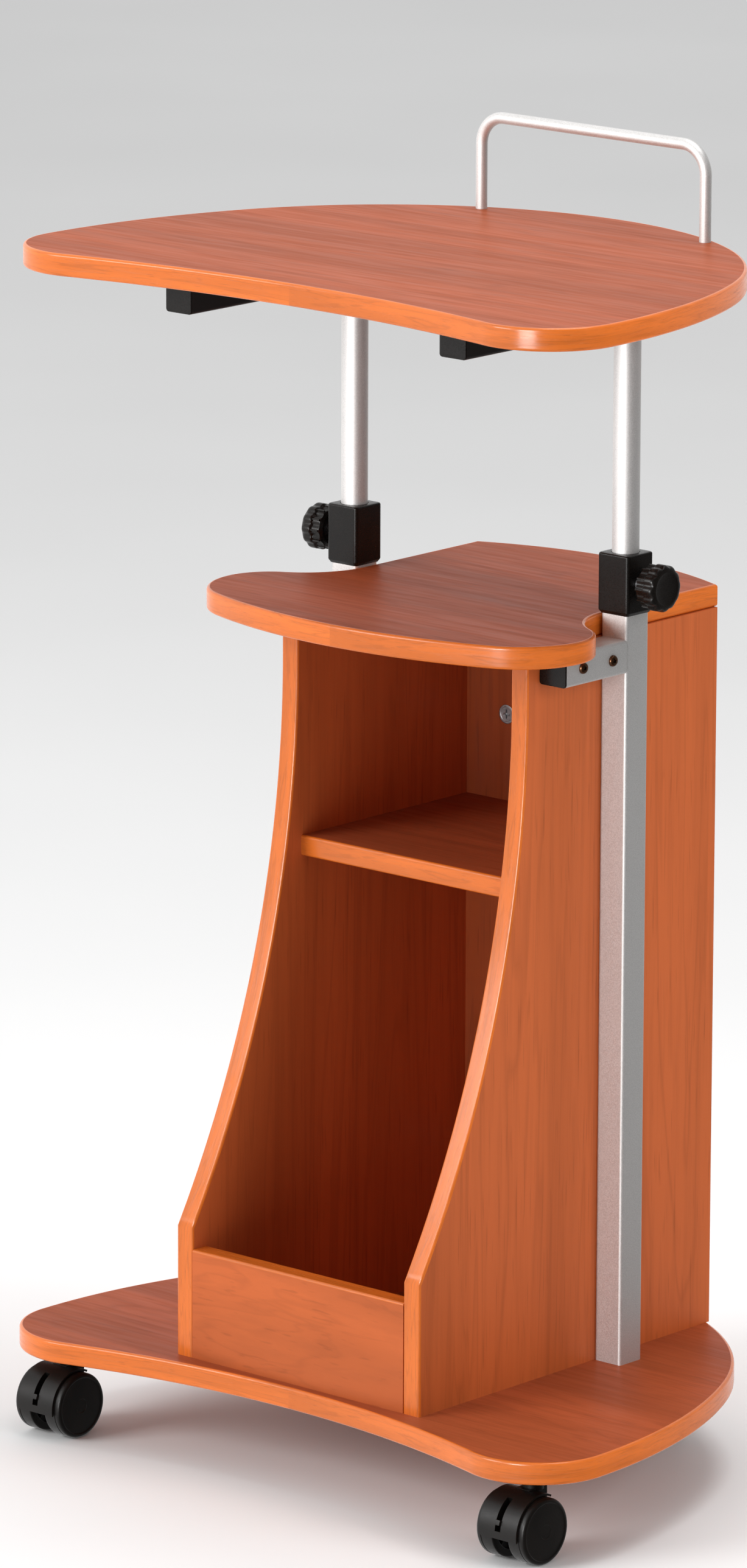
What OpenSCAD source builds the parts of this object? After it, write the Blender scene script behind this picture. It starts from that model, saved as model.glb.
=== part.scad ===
// Lectern podium on casters: a narrow cabinet between two telescopic legs,
// with a lifting worktop on two posts that clamp in collars.
// X runs across the podium, Y from front to back, Z up from the floor.

/* [Worktop] */
// Width of the worktop
top_w = 560; // [500:1:680]
// Depth of the worktop from its front lobes to its back
top_d = 400; // [380:1:440]
// How far the middle of the front edge is hollowed back
top_hollow = 24; // [10:1:40]
// How far the worktop's lobes stand in front of the cabinet
top_reach = 34; // [20:1:60]
// Height of the worktop over the floor as it stands
top_h = 925; // [860:1:1100]

/* [Base] */
// Width of the base board
base_w = 567; // [500:1:680]
// Depth of the base board from its front lobes to its back
base_d = 408; // [390:1:450]
// How far the middle of the base's front edge is hollowed back
base_hollow = 32; // [10:1:40]
// How far the base's lobes stand in front of the cabinet
base_reach = 41; // [30:1:60]
// Radius of the four rounded front lobes
lobe_r = 60; // [50:1:70]
// Radius of the long side curves
side_r = 450; // [440:1:600]

/* [Boards] */
// Thickness of the worktop, the middle board and the base
deck_t = 17; // [14:0.5:22]
// Thickness of the cabinet's boards
panel_t = 16; // [13:0.5:20]
// Thickness of the edging strips
edge_t = 2; // [1:0.1:3]

/* [Cabinet] */
// Width over the two side panels
cab_w = 245; // [200:1:320]
// Depth of the side panels
cab_d = 339; // [320:1:360]
// Height of the side panels
cab_h = 563; // [480:1:680]
// Height of the upright foot of the side panels' front edge
foot_h = 102; // [95:1:140]
// How far the upper front edge stands back
scoop_d = 118; // [80:1:120]
// Height at which the curved front edge becomes upright
scoop_h = 524; // [420:1:560]
// Height of the front board
front_h = 85.5; // [60:0.5:92]
// Height of the shelf's top over the base
shelf_h = 387; // [300:1:480]
// Setback of the shelf's front edge
shelf_y = 122.5; // [118:0.5:140]
// Setback of the back panel from the side panels' rear edges
back_in = 9; // [0:0.5:16]

/* [Middle board] */
// Width over the two wings
wing_w = 353; // [340:1:420]
// Setback of the front edge at the middle
mid_front = 35.5; // [20:0.5:50]
// Overhang of the rear edge behind the side panels
mid_over = 28; // [10:1:40]
// Radius of the bowed front edge
mid_front_r = 400; // [360:1:600]
// Radius of the bowed rear edge
mid_back_r = 290; // [250:1:500]
// Radius of the wings' front corners
wing_front_r = 60; // [50:1:66]
// Radius of the wings' rear corners
wing_back_r = 44; // [36:1:48]
// Radius of the hollow corner in front of each leg
wing_hollow_r = 60; // [40:1:62]
// Gap between the middle board and each leg
mid_gap = 2; // [1:0.5:4]

/* [Legs and posts] */
// Side of the square tube
tube_w = 25.4; // [22:0.1:30]
// Wall of the square tube
tube_wall = 1.5; // [1:0.1:2]
// Rounding of the square tube's corners
tube_r = 2.5; // [2:0.1:3]
// Distance of the leg's centre line behind the cabinet's front
leg_y = 214.6; // [205:0.1:235]
// Diameter of the sliding post
post_d = 20.5; // [17:0.1:21]
// Wall of the sliding post
post_wall = 1.5; // [1:0.1:2]
// Length of the post
post_len = 500; // [460:1:520]
// Setback of the bracket's front end
bracket_y = 131.5; // [110:0.5:150]

/* [Collars and knobs] */
// Side of the square collar
collar_w = 30; // [29:0.1:36]
// Height of the collar
collar_h = 46; // [40:0.5:60]
// Depth of the socket that takes the leg
collar_socket = 15; // [10:0.5:16]
// Gap between the middle board and the collar
collar_gap = 1; // [0.5:0.1:4]
// Clearance of the collar round the leg
socket_gap = 0.05; // [0.02:0.01:0.1]
// Running clearance round posts, pins and studs, on the radius
run_gap = 0.06; // [0.03:0.01:0.1]
// Diameter of the knob
knob_d = 36; // [30:1:44]
// Thickness of the knob
knob_t = 19.5; // [14:0.5:24]
// Number of flutes round the knob
knob_flutes = 12; // [8:1:16]
// Diameter of the knob's stud
stud_d = 8; // [6:0.5:8]
// Bare stud between the collar and the knob
stud_bare = 6; // [3:0.5:10]

/* [Rails] */
// Setback of the rails' front end
rail_y = 17; // [10:0.5:40]
// Length of the rails
rail_len = 296; // [240:1:320]

/* [Guard rail] */
// Diameter of the guard rail's rod
rod_d = 9; // [6:0.5:12]
// Distance between the feet of the guard rail
rod_span = 222; // [160:1:260]
// Height of the guard rail over the worktop
rod_h = 76.5; // [50:0.5:120]
// Bend radius of the rod's centre line
rod_bend = 22; // [15:0.5:24]
// Distance from the worktop's edge to the middle of the guard rail's feet
rod_in = 8; // [8:0.5:40]

/* [Casters] */
// Height of a caster, floor to base board
caster_h = 65.5; // [64:0.5:72]
// Diameter of a wheel
wheel_d = 51; // [46:0.5:52]
// Width of a wheel
wheel_w = 16; // [12:0.5:18]
// Half the gap between the two wheels of a caster
wheel_in = 7.3; // [7.2:0.1:9]
// Offset of the axle from the swivel axis
trail = 12; // [10:0.5:13]
// Diameter of the axle
axle_d = 5; // [4:0.1:6]
// Diameter of the caster stem
stem_d = 8; // [7:0.1:8.4]
// Distance of the front swivel axes from the middle
front_caster_x = 234.5; // [200:0.5:250]
// Distance of the rear swivel axes from the middle
rear_caster_x = 104; // [90:1:130]
// Distance of the rear swivel axes behind the cabinet's front
rear_caster_y = 300; // [260:1:310]

/* [Hidden] */

// Finishes
wood_top = [0.70, 0.40, 0.28];
wood_panel = [0.72, 0.36, 0.19];
wood_edge = [0.86, 0.45, 0.20];
silver = [0.80, 0.79, 0.77];
black = [0.10, 0.09, 0.09];
bronze = [0.34, 0.24, 0.17];
zinc = [0.66, 0.66, 0.68];
steel = [0.72, 0.73, 0.75];
nylon = [0.86, 0.85, 0.80];
beech = [0.84, 0.68, 0.46];

// Levels, from the floor up
base_top = caster_h + deck_t;
mid_z = base_top + cab_h;
collar_z = mid_z + deck_t + collar_gap;
collar_top = collar_z + collar_h;
leg_top = collar_z + collar_socket;
stud_z = collar_z + collar_h / 2;
board_z = top_h - deck_t;
rail_z = board_z - tube_w;
post_z = rail_z - post_len;

// Places across and along the podium
half_cab = cab_w / 2;
inner_w = cab_w - 2 * panel_t;
leg_x = half_cab + tube_w / 2;
leg_front = leg_y - tube_w / 2;
back_y = cab_d - back_in - panel_t;
mid_y = base_d / 2 - base_reach;

// Fits and fastenings
slip = 0.1;
body_gap = 0.3;
bore_fn = 64;
arc_step = 4;
small_step = 30;
screw_d = 5;
screw_head_d = 10;
screw_head_t = 4;
rail_screw_d = 4.2;
rail_screw_bite = 11;
rail_screw_y = [45, 250];
bracket_screw_d = 4.5;
bracket_head_d = 8.6;
bracket_head_t = 2.6;
bracket_screw_y = [20, 54];
bolt_d = 8;
bolt_head_d = 13;
bolt_head_t = 5;
plug_h = 25;
cap_t = 1.6;
cap_plug = 8;
cam_d = 15;
cam_t = 12.5;
cam_in = 40;
dowel_d = 6;
dowel_bite = 9;
back_cam_z = [108, 455];
front_cam_z = 43;
shelf_cam_y = [32, 160];
peg_d = 8;
peg_len = 26;
peg_y = [bracket_y + 37, cab_d - 39];
panel_screw_y = [60, 290];
panel_screw_len = 50;
rod_screw_d = 5;
rod_screw_bite = 18;
rod_seat = 3;
rod_head_d = 8.5;
insert_d = 13;
insert_t = 4.2;
stem_floor = 32;
stem_bite = 12;
sleeve_d = 11.5;
flange_d = 18;
flange_t = 1;
boss_d = 16.5;
hood_gap = 0.7;
hood_t = 1.6;
hood_w = 36;
brake_w = 4.6;
brake_slot_gap = 0.4;

function arc(c, r, from, to, step = arc_step) =
  let (n = max(1, ceil(abs(to - from) / step)))
  [for (i = [0:n]) let (a = from + (to - from) * i / n) c + r * [cos(a), sin(a)]];

function mirrored(pts) = [for (i = [len(pts) - 1:-1:0]) [-pts[i][0], pts[i][1]]];

// Radius of the bowed back that the two long side curves run into.
function back_radius(w, d) =
  let (run = d - lobe_r, side_in = side_r - w / 2)
  (side_r * side_r - side_in * side_in - run * run) / (2 * (side_r - run));

top_back_r = back_radius(top_w, top_d);
rod_y = top_d - top_reach - top_back_r + sqrt(pow(top_back_r - rod_in, 2) - pow(rod_span / 2, 2));

// Outline of the worktop and the base: a hollow front between two round lobes,
// long side curves and a bowed back. inset moves every edge inwards.
function deck_half(w, d, hollow, reach, inset) =
  let (
    half = w / 2,
    side_y = lobe_r - reach,
    lobe = [half - lobe_r, side_y],
    hollow_r = (lobe[0] * lobe[0] + pow(lobe_r - hollow, 2) - lobe_r * lobe_r) / (2 * hollow),
    front = [0, hollow - reach - hollow_r],
    lobe_from = atan2(front[1] - lobe[1], front[0] - lobe[0]),
    side_in = side_r - half,
    back_r = back_radius(w, d),
    back = [0, d - reach - back_r],
    side = [-side_in, side_y],
    side_to = atan2(back[1] - side[1], side_in)
  )
  concat(
    arc(front, hollow_r + inset, 90, lobe_from + 180),
    arc(lobe, lobe_r - inset, lobe_from, 0),
    arc(side, side_r - inset, arc_step / 2, side_to),
    arc(back, back_r - inset, side_to + arc_step / 2, 90));

module deck_outline(w, d, hollow, reach, inset) {
  right = deck_half(w, d, hollow, reach, inset);
  polygon(concat(right, mirrored(right)));
}

// Outline of the middle board: a bowed front, rounded wings, a hollow corner
// in front of each leg, straight sides between the legs and a bowed back.
function mid_half(inset) =
  let (
    half = wing_w / 2,
    side = half_cab - mid_gap,
    front = [0, mid_front + mid_front_r],
    tip_x = half - wing_front_r,
    tip_y = front[1] - sqrt(pow(mid_front_r - wing_front_r, 2) - tip_x * tip_x),
    front_to = atan2(tip_y - front[1], tip_x),
    back_tip = [half - wing_back_r, tip_y],
    hollow_dx = side + wing_hollow_r - back_tip[0],
    hollow_dy = sqrt(pow(wing_hollow_r + wing_back_r, 2) - hollow_dx * hollow_dx),
    tip_to = atan2(hollow_dy, hollow_dx),
    hollow = back_tip + [hollow_dx, hollow_dy],
    back_r = mid_back_r - inset,
    back = [0, cab_d + mid_over - mid_back_r],
    back_from = acos((side - inset) / back_r)
  )
  concat(
    arc(front, mid_front_r - inset, -90, front_to),
    arc([tip_x, tip_y], wing_front_r - inset, front_to + arc_step, 0),
    arc(back_tip, wing_back_r - inset, arc_step, tip_to),
    arc(hollow, wing_hollow_r + inset, tip_to + 180 - arc_step, 180),
    arc(back, back_r, back_from, 90));

module mid_outline(inset) {
  right = mid_half(inset);
  polygon(concat(right, mirrored(right)));
}

// Everything is laid out from the cabinet's front edge, then centred in depth.
module placed() translate([0, -mid_y, 0]) children();

module both_sides() {
  children();
  mirror([1, 0, 0]) children();
}

module side(s) {
  if (s > 0) children();
  else mirror([1, 0, 0]) children();
}

module rod_x(d, from, to) {
  translate([from, 0, 0]) rotate([0, 90, 0]) cylinder(d = d, h = to - from, $fn = bore_fn);
}

module rod_z(d, from, to) translate([0, 0, from]) cylinder(d = d, h = to - from, $fn = bore_fn);

// ---------------------------------------------------------------- base
module leg_bolt_holes() both_sides() translate([leg_x, leg_y, 0]) {
  rod_z(bolt_d + 2 * slip, 0, base_top + 1);
  rod_z(bolt_head_d + 2, 0, caster_h + bolt_head_t + 1);
}

module at_panel_screws() for (y = panel_screw_y) translate([half_cab - panel_t / 2, y, 0]) children();

module panel_screw_holes() both_sides() at_panel_screws() {
  rod_z(screw_d + 2 * slip, 0, caster_h + panel_screw_len + slip);
  rod_z(screw_head_d + 2 * slip, 0, caster_h + screw_head_t);
}

module at_casters() {
  for (s = [-1, 1]) {
    translate([s * front_caster_x, 0, 0]) children();
    translate([s * rear_caster_x, rear_caster_y, 0]) children();
  }
}

module base_outline(inset) deck_outline(base_w, base_d, base_hollow, base_reach, inset);

module base_board() color(wood_top) placed() difference() {
  translate([0, 0, caster_h]) linear_extrude(deck_t) base_outline(edge_t);
  leg_bolt_holes();
  panel_screw_holes();
  at_casters() rod_z(sleeve_d + 2 * slip, 0, caster_h + stem_bite + 1);
}

module base_edging() color(wood_edge) placed() translate([0, 0, caster_h]) {
  linear_extrude(deck_t) difference() {
    base_outline(0);
    base_outline(edge_t);
  }
}

// ---------------------------------------------------------------- cabinet
// Side view of a side panel, with its front edge moved in by inset.
module panel_profile(inset) {
  scoop_r = (scoop_d * scoop_d + pow(scoop_h - foot_h, 2)) / (2 * scoop_d);
  difference() {
    translate([inset, 0]) square([cab_d - inset, cab_h]);
    translate([scoop_d - scoop_r, scoop_h]) circle(r = scoop_r + inset, $fn = 200);
    translate([-1, scoop_h]) square([scoop_d + inset + 1, cab_h]);
  }
}

module upright(x, t) translate([x, 0, base_top]) rotate([90, 0, 90]) linear_extrude(t) children();

module at_bracket_screws() for (y = bracket_screw_y) {
  translate([0, bracket_y + y, mid_z - tube_w / 2]) children();
}

module bracket_screw_holes() at_bracket_screws() {
  rod_x(bracket_screw_d + 2 * slip, half_cab - 12, leg_x + tube_w);
}

module dowel_holes(d) {
  from = half_cab - panel_t - cam_in;
  to = half_cab - panel_t + dowel_bite;
  for (z = back_cam_z) translate([0, back_y + panel_t / 2, base_top + z]) rod_x(d, from, to);
  translate([0, panel_t / 2, base_top + front_cam_z]) rod_x(d, from, to);
  for (y = shelf_cam_y) translate([0, shelf_y + y, base_top + shelf_h - panel_t / 2]) rod_x(d, from, to);
}

module cam_places() {
  x = half_cab - panel_t - cam_in;
  for (z = back_cam_z) translate([x, back_y, base_top + z]) rotate([-90, 0, 0]) children();
  translate([x, panel_t, base_top + front_cam_z]) rotate([90, 0, 0]) children();
  for (y = shelf_cam_y) translate([x, shelf_y + y, base_top + shelf_h - panel_t]) children();
}

module peg_holes(d) for (y = peg_y) translate([half_cab - panel_t / 2, y, 0]) {
  rod_z(d, mid_z - peg_len / 2, mid_z + peg_len / 2 - 2);
}

module side_panel(s) color(wood_panel) placed() side(s) difference() {
  upright(half_cab - panel_t, panel_t) panel_profile(edge_t);
  dowel_holes(dowel_d + 2 * slip);
  peg_holes(peg_d + 2 * slip);
  bracket_screw_holes();
  at_panel_screws() rod_z(screw_d + 2 * slip, caster_h, caster_h + panel_screw_len + slip);
}

module left_side_panel() side_panel(-1);
module right_side_panel() side_panel(1);

module cabinet_edgings() color(wood_edge) placed() {
  both_sides() upright(half_cab - panel_t, panel_t) difference() {
    panel_profile(0);
    panel_profile(edge_t);
  }
  translate([-inner_w / 2, shelf_y, base_top + shelf_h - panel_t]) cube([inner_w, edge_t, panel_t]);
  translate([-inner_w / 2, 0, base_top + front_h - edge_t]) cube([inner_w, panel_t, edge_t]);
}

module back_panel() color(wood_panel) placed() difference() {
  translate([-inner_w / 2, back_y, base_top]) cube([inner_w, panel_t, cab_h]);
  both_sides() dowel_holes(dowel_d + 2 * slip);
  both_sides() cam_places() rod_z(cam_d + 2 * slip, -1, cam_t + slip);
}

module shelf() color(wood_top) placed() difference() {
  translate([-inner_w / 2, shelf_y + edge_t, base_top + shelf_h - panel_t]) {
    cube([inner_w, back_y - shelf_y - edge_t, panel_t]);
  }
  both_sides() dowel_holes(dowel_d + 2 * slip);
  both_sides() cam_places() rod_z(cam_d + 2 * slip, -1, cam_t + slip);
}

module front_board() color(wood_panel) placed() difference() {
  translate([-inner_w / 2, 0, base_top]) cube([inner_w, panel_t, front_h - edge_t]);
  both_sides() dowel_holes(dowel_d + 2 * slip);
  both_sides() cam_places() rod_z(cam_d + 2 * slip, -1, cam_t + slip);
}

module middle_board() color(wood_top) placed() difference() {
  translate([0, 0, mid_z]) linear_extrude(deck_t) mid_outline(edge_t);
  both_sides() peg_holes(peg_d + 2 * slip);
}

module middle_edging() color(wood_edge) placed() translate([0, 0, mid_z]) {
  linear_extrude(deck_t) difference() {
    mid_outline(0);
    mid_outline(edge_t);
  }
}

module cam_locks() color(zinc) placed() both_sides() cam_places() difference() {
  rod_z(cam_d, 0, cam_t);
  translate([-5, -0.9, -1]) cube([10, 1.8, 3]);
  translate([-0.9, -5, -1]) cube([1.8, 10, 3]);
  translate([0, 0, panel_t / 2]) rod_x(dowel_d + 2 * slip, -1, cam_d);
}

module cam_dowels() color(steel) placed() both_sides() dowel_holes(dowel_d);

module board_dowels() color(beech) placed() both_sides() peg_holes(peg_d);

module panel_screws() color(steel) placed() both_sides() at_panel_screws() difference() {
  union() {
    rod_z(screw_d, caster_h + 1, caster_h + panel_screw_len);
    rod_z(screw_head_d, caster_h + slip, caster_h + screw_head_t - slip);
  }
  rod_z(3.4, caster_h - 1, caster_h + 2);
}

// ---------------------------------------------------------------- legs
// Section of the square tube, round-cornered with true arcs, shrunk by inset.
module tube_section(inset) {
  w = tube_w - 2 * inset;
  r = max(0.4, tube_r - inset);
  square([w - 2 * r, w], center = true);
  square([w, w - 2 * r], center = true);
  for (x = [-1, 1], y = [-1, 1]) translate([x * (w / 2 - r), y * (w / 2 - r)]) circle(r = r, $fn = 32);
}

module tube_wall_section() difference() {
  tube_section(0);
  tube_section(tube_wall);
}

module leg(s) color(silver) placed() side(s) translate([leg_x, leg_y, base_top]) {
  linear_extrude(leg_top - base_top) tube_wall_section();
}

module left_leg() leg(-1);
module right_leg() leg(1);

module along_y(y, len) translate([0, y, 0]) rotate([-90, 0, 0]) linear_extrude(len) children();

module bracket(s) color(silver) placed() side(s) difference() {
  translate([leg_x, 0, mid_z - tube_w / 2]) {
    along_y(bracket_y + cap_t, leg_front - bracket_y - cap_t) tube_wall_section();
  }
  bracket_screw_holes();
}

module left_bracket() bracket(-1);
module right_bracket() bracket(1);

// Push-in cap for the open end of a square tube, its face at y and its plug behind.
module tube_cap(y, turn) translate([0, y, 0]) rotate([0, 0, turn]) {
  along_y(0, cap_t) tube_section(0);
  along_y(cap_t, cap_plug) tube_section(tube_wall + slip);
}

module bracket_end_caps() color(black) placed() both_sides() {
  translate([leg_x, 0, mid_z - tube_w / 2]) tube_cap(bracket_y, 0);
}

// Pan-head screw lying along X, with its head at x and its point to the left.
module pan_screw_x(x, d, head_d, head_t, point) {
  r = head_d / 2;
  difference() {
    translate([x, 0, 0]) rotate([0, 90, 0]) rotate_extrude($fn = bore_fn) polygon(concat(
      [[0, 0], [r, 0]], arc([r - head_t, 0], head_t, 20, 90, small_step), [[0, head_t]]));
    for (turn = [0, 90]) translate([x + head_t - 1.1, 0, 0]) rotate([turn, 0, 0]) {
      translate([0, -2.2, -0.5]) cube([3, 4.4, 1]);
    }
  }
  rod_x(d, point, x);
}

module bracket_screws() color(bronze) placed() both_sides() at_bracket_screws() {
  pan_screw_x(leg_x + tube_w / 2, bracket_screw_d, bracket_head_d, bracket_head_t, half_cab - 11.5);
}

module leg_foot_plugs() color(black) placed() both_sides() translate([leg_x, leg_y, base_top]) difference() {
  linear_extrude(plug_h) tube_section(tube_wall + slip);
  rod_z(bolt_d + 2 * slip, -1, plug_h + 1);
}

module leg_bolts() color(steel) placed() both_sides() translate([leg_x, leg_y, caster_h]) {
  difference() {
    rod_z(bolt_head_d, 1, bolt_head_t + 1);
    translate([0, 0, -1]) cylinder(d = 7, h = 4.5, $fn = 6);
  }
  rod_z(bolt_d, bolt_head_t + 1, deck_t + plug_h - 2);
}

// ---------------------------------------------------------------- collars and knobs
module collar_block() {
  r = 3;
  lip = 2.5;
  w = collar_w / 2;
  difference() {
    for (k = [0, 1]) rotate([0, 0, 90 * k]) translate([-w + r, -w, 0]) {
      cube([collar_w - 2 * r, collar_w, collar_h]);
    }
    // tapered lower lip on all four sides
    for (k = [0:3]) rotate([0, 0, 90 * k]) translate([-w - 1, 0, 0]) rotate([90, 0, 90]) {
      linear_extrude(collar_w + 2) polygon([[-w - 1, -1], [-w + lip, -1], [-w, lip], [-w - 1, lip]]);
    }
  }
}

module collar_corners() {
  r = 3;
  w = collar_w / 2;
  lip = 2.5;
  for (x = [-1, 1], y = [-1, 1]) translate([x * (w - r), y * (w - r), lip]) {
    cylinder(r = r, h = collar_h - lip, $fn = 48);
  }
}

module collar(s) color(black) placed() side(s) translate([leg_x, leg_y, collar_z]) difference() {
  union() {
    collar_block();
    collar_corners();
  }
  translate([0, 0, -1]) linear_extrude(collar_socket + 1) tube_section(-socket_gap);
  rod_z(post_d + 2 * run_gap, 0, collar_h + 1);
  translate([0, 0, collar_h / 2]) {
    rod_x(insert_d + 2 * slip, collar_w / 2 - insert_t, collar_w);
    rod_x(stud_d + 2 * run_gap, 0, collar_w);
  }
}

module left_collar() collar(-1);
module right_collar() collar(1);

module collar_inserts() color(zinc) placed() both_sides() translate([leg_x, leg_y, stud_z]) difference() {
  rod_x(insert_d, collar_w / 2 - insert_t, collar_w / 2);
  rod_x(stud_d + 2 * run_gap, 0, collar_w);
}

module knob_stud(s) color(steel) placed() side(s) translate([leg_x, leg_y, stud_z]) {
  rod_x(stud_d, post_d / 2 + body_gap, collar_w / 2 + stud_bare + knob_t * 0.7);
}

module left_knob_stud() knob_stud(-1);
module right_knob_stud() knob_stud(1);

module knob(s) color(black) placed() side(s) translate([leg_x + collar_w / 2 + stud_bare, leg_y, stud_z]) {
  r = knob_d / 2;
  difference() {
    rotate([0, 90, 0]) rotate_extrude($fn = 96) polygon(concat(
      [[0, 0], [r * 0.55, 0], [r * 0.62, 2.5]],
      arc([r - 3, 5.5], 3, -90, 0, small_step),
      arc([r - 4, knob_t - 5], 4, 0, 90, small_step),
      [[r * 0.5, knob_t], [0, knob_t - 0.8]]));
    for (i = [0:knob_flutes - 1]) rotate([360 * i / knob_flutes, 0, 0]) {
      translate([0, 0, r + 2.2]) rod_x(7.5, 2.6, knob_t + 1);
    }
    rod_x(stud_d + 2 * run_gap, -1, knob_t * 0.7);
  }
}

module left_knob() knob(-1);
module right_knob() knob(1);

// ---------------------------------------------------------------- worktop
module rail_screw_holes(d, from, to) both_sides() for (y = rail_screw_y) {
  translate([leg_x, rail_y + y, 0]) rod_z(d, from, to);
}

module top_outline(inset) deck_outline(top_w, top_d, top_hollow, top_reach, inset);

module worktop() color(wood_top) placed() difference() {
  translate([0, 0, board_z]) linear_extrude(deck_t) top_outline(edge_t);
  rail_screw_holes(rail_screw_d + 2 * slip, board_z - 1, board_z + rail_screw_bite + slip);
  for (x = [-1, 1]) translate([x * rod_span / 2, rod_y, 0]) {
    rod_z(rod_screw_d + 2 * slip, board_z - 1, top_h + 1);
    rod_z(rod_head_d + 1, board_z - 1, board_z + 4);
    rod_z(rod_d + 2 * slip, top_h - rod_seat, top_h + 1);
  }
}

module worktop_edging() color(wood_edge) placed() translate([0, 0, board_z]) {
  linear_extrude(deck_t) difference() {
    top_outline(0);
    top_outline(edge_t);
  }
}

module post(s) color(silver) placed() side(s) translate([leg_x, leg_y, 0]) difference() {
  rod_z(post_d, post_z, rail_z);
  rod_z(post_d - 2 * post_wall, post_z - 1, rail_z + 1);
}

module left_post() post(-1);
module right_post() post(1);

module post_plugs() color(nylon) placed() both_sides() translate([leg_x, leg_y, post_z]) {
  rod_z(tube_w - 2 * tube_wall - 2 * body_gap, -10, 0);
  rod_z(post_d - 2 * post_wall - 2 * slip, 0, 15);
}

module rail(s) color(black) placed() side(s) difference() {
  translate([leg_x, 0, rail_z + tube_w / 2]) {
    along_y(rail_y + cap_t, rail_len - 2 * cap_t) tube_wall_section();
  }
  rail_screw_holes(rail_screw_d + 2 * slip, rail_z - 1, board_z + 1);
}

module left_rail() rail(-1);
module right_rail() rail(1);

module rail_end_caps() color(black) placed() both_sides() translate([leg_x, 0, rail_z + tube_w / 2]) {
  tube_cap(rail_y, 0);
  tube_cap(rail_y + rail_len, 180);
}

module rail_screws() color(steel) placed() both_sides() for (y = rail_screw_y) {
  translate([leg_x, rail_y + y, rail_z]) rotate([0, 90, 0]) {
    pan_screw_x(0, rail_screw_d, 8, 2.4, -tube_w - rail_screw_bite);
  }
}

// Rod bent into a staple: two feet let into the worktop, two bends and a top bar.
module guard_rail() color(silver) placed() translate([0, rod_y, 0]) difference() {
  bar_z = top_h + rod_h - rod_d / 2;
  union() {
    both_sides() {
      translate([rod_span / 2, 0, 0]) rod_z(rod_d, top_h - rod_seat, bar_z - rod_bend);
      translate([rod_span / 2 - rod_bend, 0, bar_z - rod_bend]) rotate([90, 0, 0]) {
        rotate_extrude(angle = 90, $fn = 96) translate([rod_bend, 0]) circle(d = rod_d, $fn = 48);
      }
    }
    translate([0, 0, bar_z]) rod_x(rod_d, -rod_span / 2 + rod_bend, rod_span / 2 - rod_bend);
  }
  for (x = [-1, 1]) translate([x * rod_span / 2, 0, 0]) {
    rod_z(rod_screw_d + 2 * slip, top_h - rod_seat - 1, top_h + rod_screw_bite + 1);
  }
}

module guard_rail_screws() color(steel) placed() for (x = [-1, 1]) translate([x * rod_span / 2, rod_y, 0]) {
  difference() {
    rod_z(rod_head_d, board_z + 0.7, board_z + 4);
    translate([0, 0, board_z]) cylinder(d = 5, h = 2.8, $fn = 6);
  }
  rod_z(rod_screw_d, board_z + 4, top_h + rod_screw_bite);
}

// ---------------------------------------------------------------- casters
axle_z = wheel_d / 2;
hood_in = wheel_d / 2 + hood_gap;
hood_out = hood_in + hood_t;
web_w = 2 * wheel_in - 1;
hood_low = -8;
hood_back = 116;
brake_pin_r = 17;
brake_pin_a = 42;
brake_pin_d = 3.2;
brake_pin = brake_pin_r * [-cos(brake_pin_a), sin(brake_pin_a)];

// Moves to a caster's swivel axis: s is -1 at the left, 1 at the right.
module at_caster(front, s) {
  x = front ? front_caster_x : rear_caster_x;
  translate([s * x, front ? 0 : rear_caster_y, 0]) children();
}

// Sector of a ring round the axle, seen from the side, angles up from the front.
module ring_sector(r_in, r_out, from, to) {
  far = r_out * 1.6;
  mid = (from + to) / 2;
  intersection() {
    difference() {
      circle(r = r_out, $fn = 96);
      if (r_in > 0) circle(r = r_in, $fn = 96);
    }
    polygon([[0, 0], far * [cos(180 - from), sin(180 - from)], far * [cos(180 - mid), sin(180 - mid)],
      far * [cos(180 - to), sin(180 - to)]]);
  }
}

module across(w) translate([-w / 2, -trail, axle_z]) rotate([90, 0, 90]) linear_extrude(w) children();

// Slot in the hood's front that the brake lever works in, and its pin's bore.
module brake_pocket() {
  across(brake_w + 2 * brake_slot_gap) ring_sector(brake_pin_r - 8, hood_out + 4, 4, 62);
  across(web_w + 1) translate(brake_pin) circle(d = brake_pin_d + 2 * run_gap, $fn = bore_fn);
}

module housing(front, s) color(black) placed() at_caster(front, s) difference() {
  union() {
    across(hood_w) ring_sector(hood_in, hood_out, hood_low, hood_back);
    across(web_w) {
      circle(r = 11, $fn = 64);
      ring_sector(0, hood_in + hood_t / 2, hood_low, hood_back);
      translate([0, -10]) square([trail + boss_d / 2, hood_in + 12]);
    }
    rod_z(boss_d, axle_z + hood_in + 0.4, caster_h - flange_t - body_gap);
  }
  rod_z(stem_d + 2 * run_gap, stem_floor, caster_h);
  translate([0, -trail, axle_z]) rod_x(axle_d + 2 * run_gap, -web_w, web_w);
  if (front) brake_pocket();
}

module front_left_housing() housing(true, -1);
module front_right_housing() housing(true, 1);
module rear_left_housing() housing(false, -1);
module rear_right_housing() housing(false, 1);

module axle(front, s) color(steel) placed() at_caster(front, s) {
  reach = wheel_in + wheel_w - 2;
  translate([0, -trail, axle_z]) rod_x(axle_d, -reach, reach);
}

module front_left_axle() axle(true, -1);
module front_right_axle() axle(true, 1);
module rear_left_axle() axle(false, -1);
module rear_right_axle() axle(false, 1);

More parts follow.
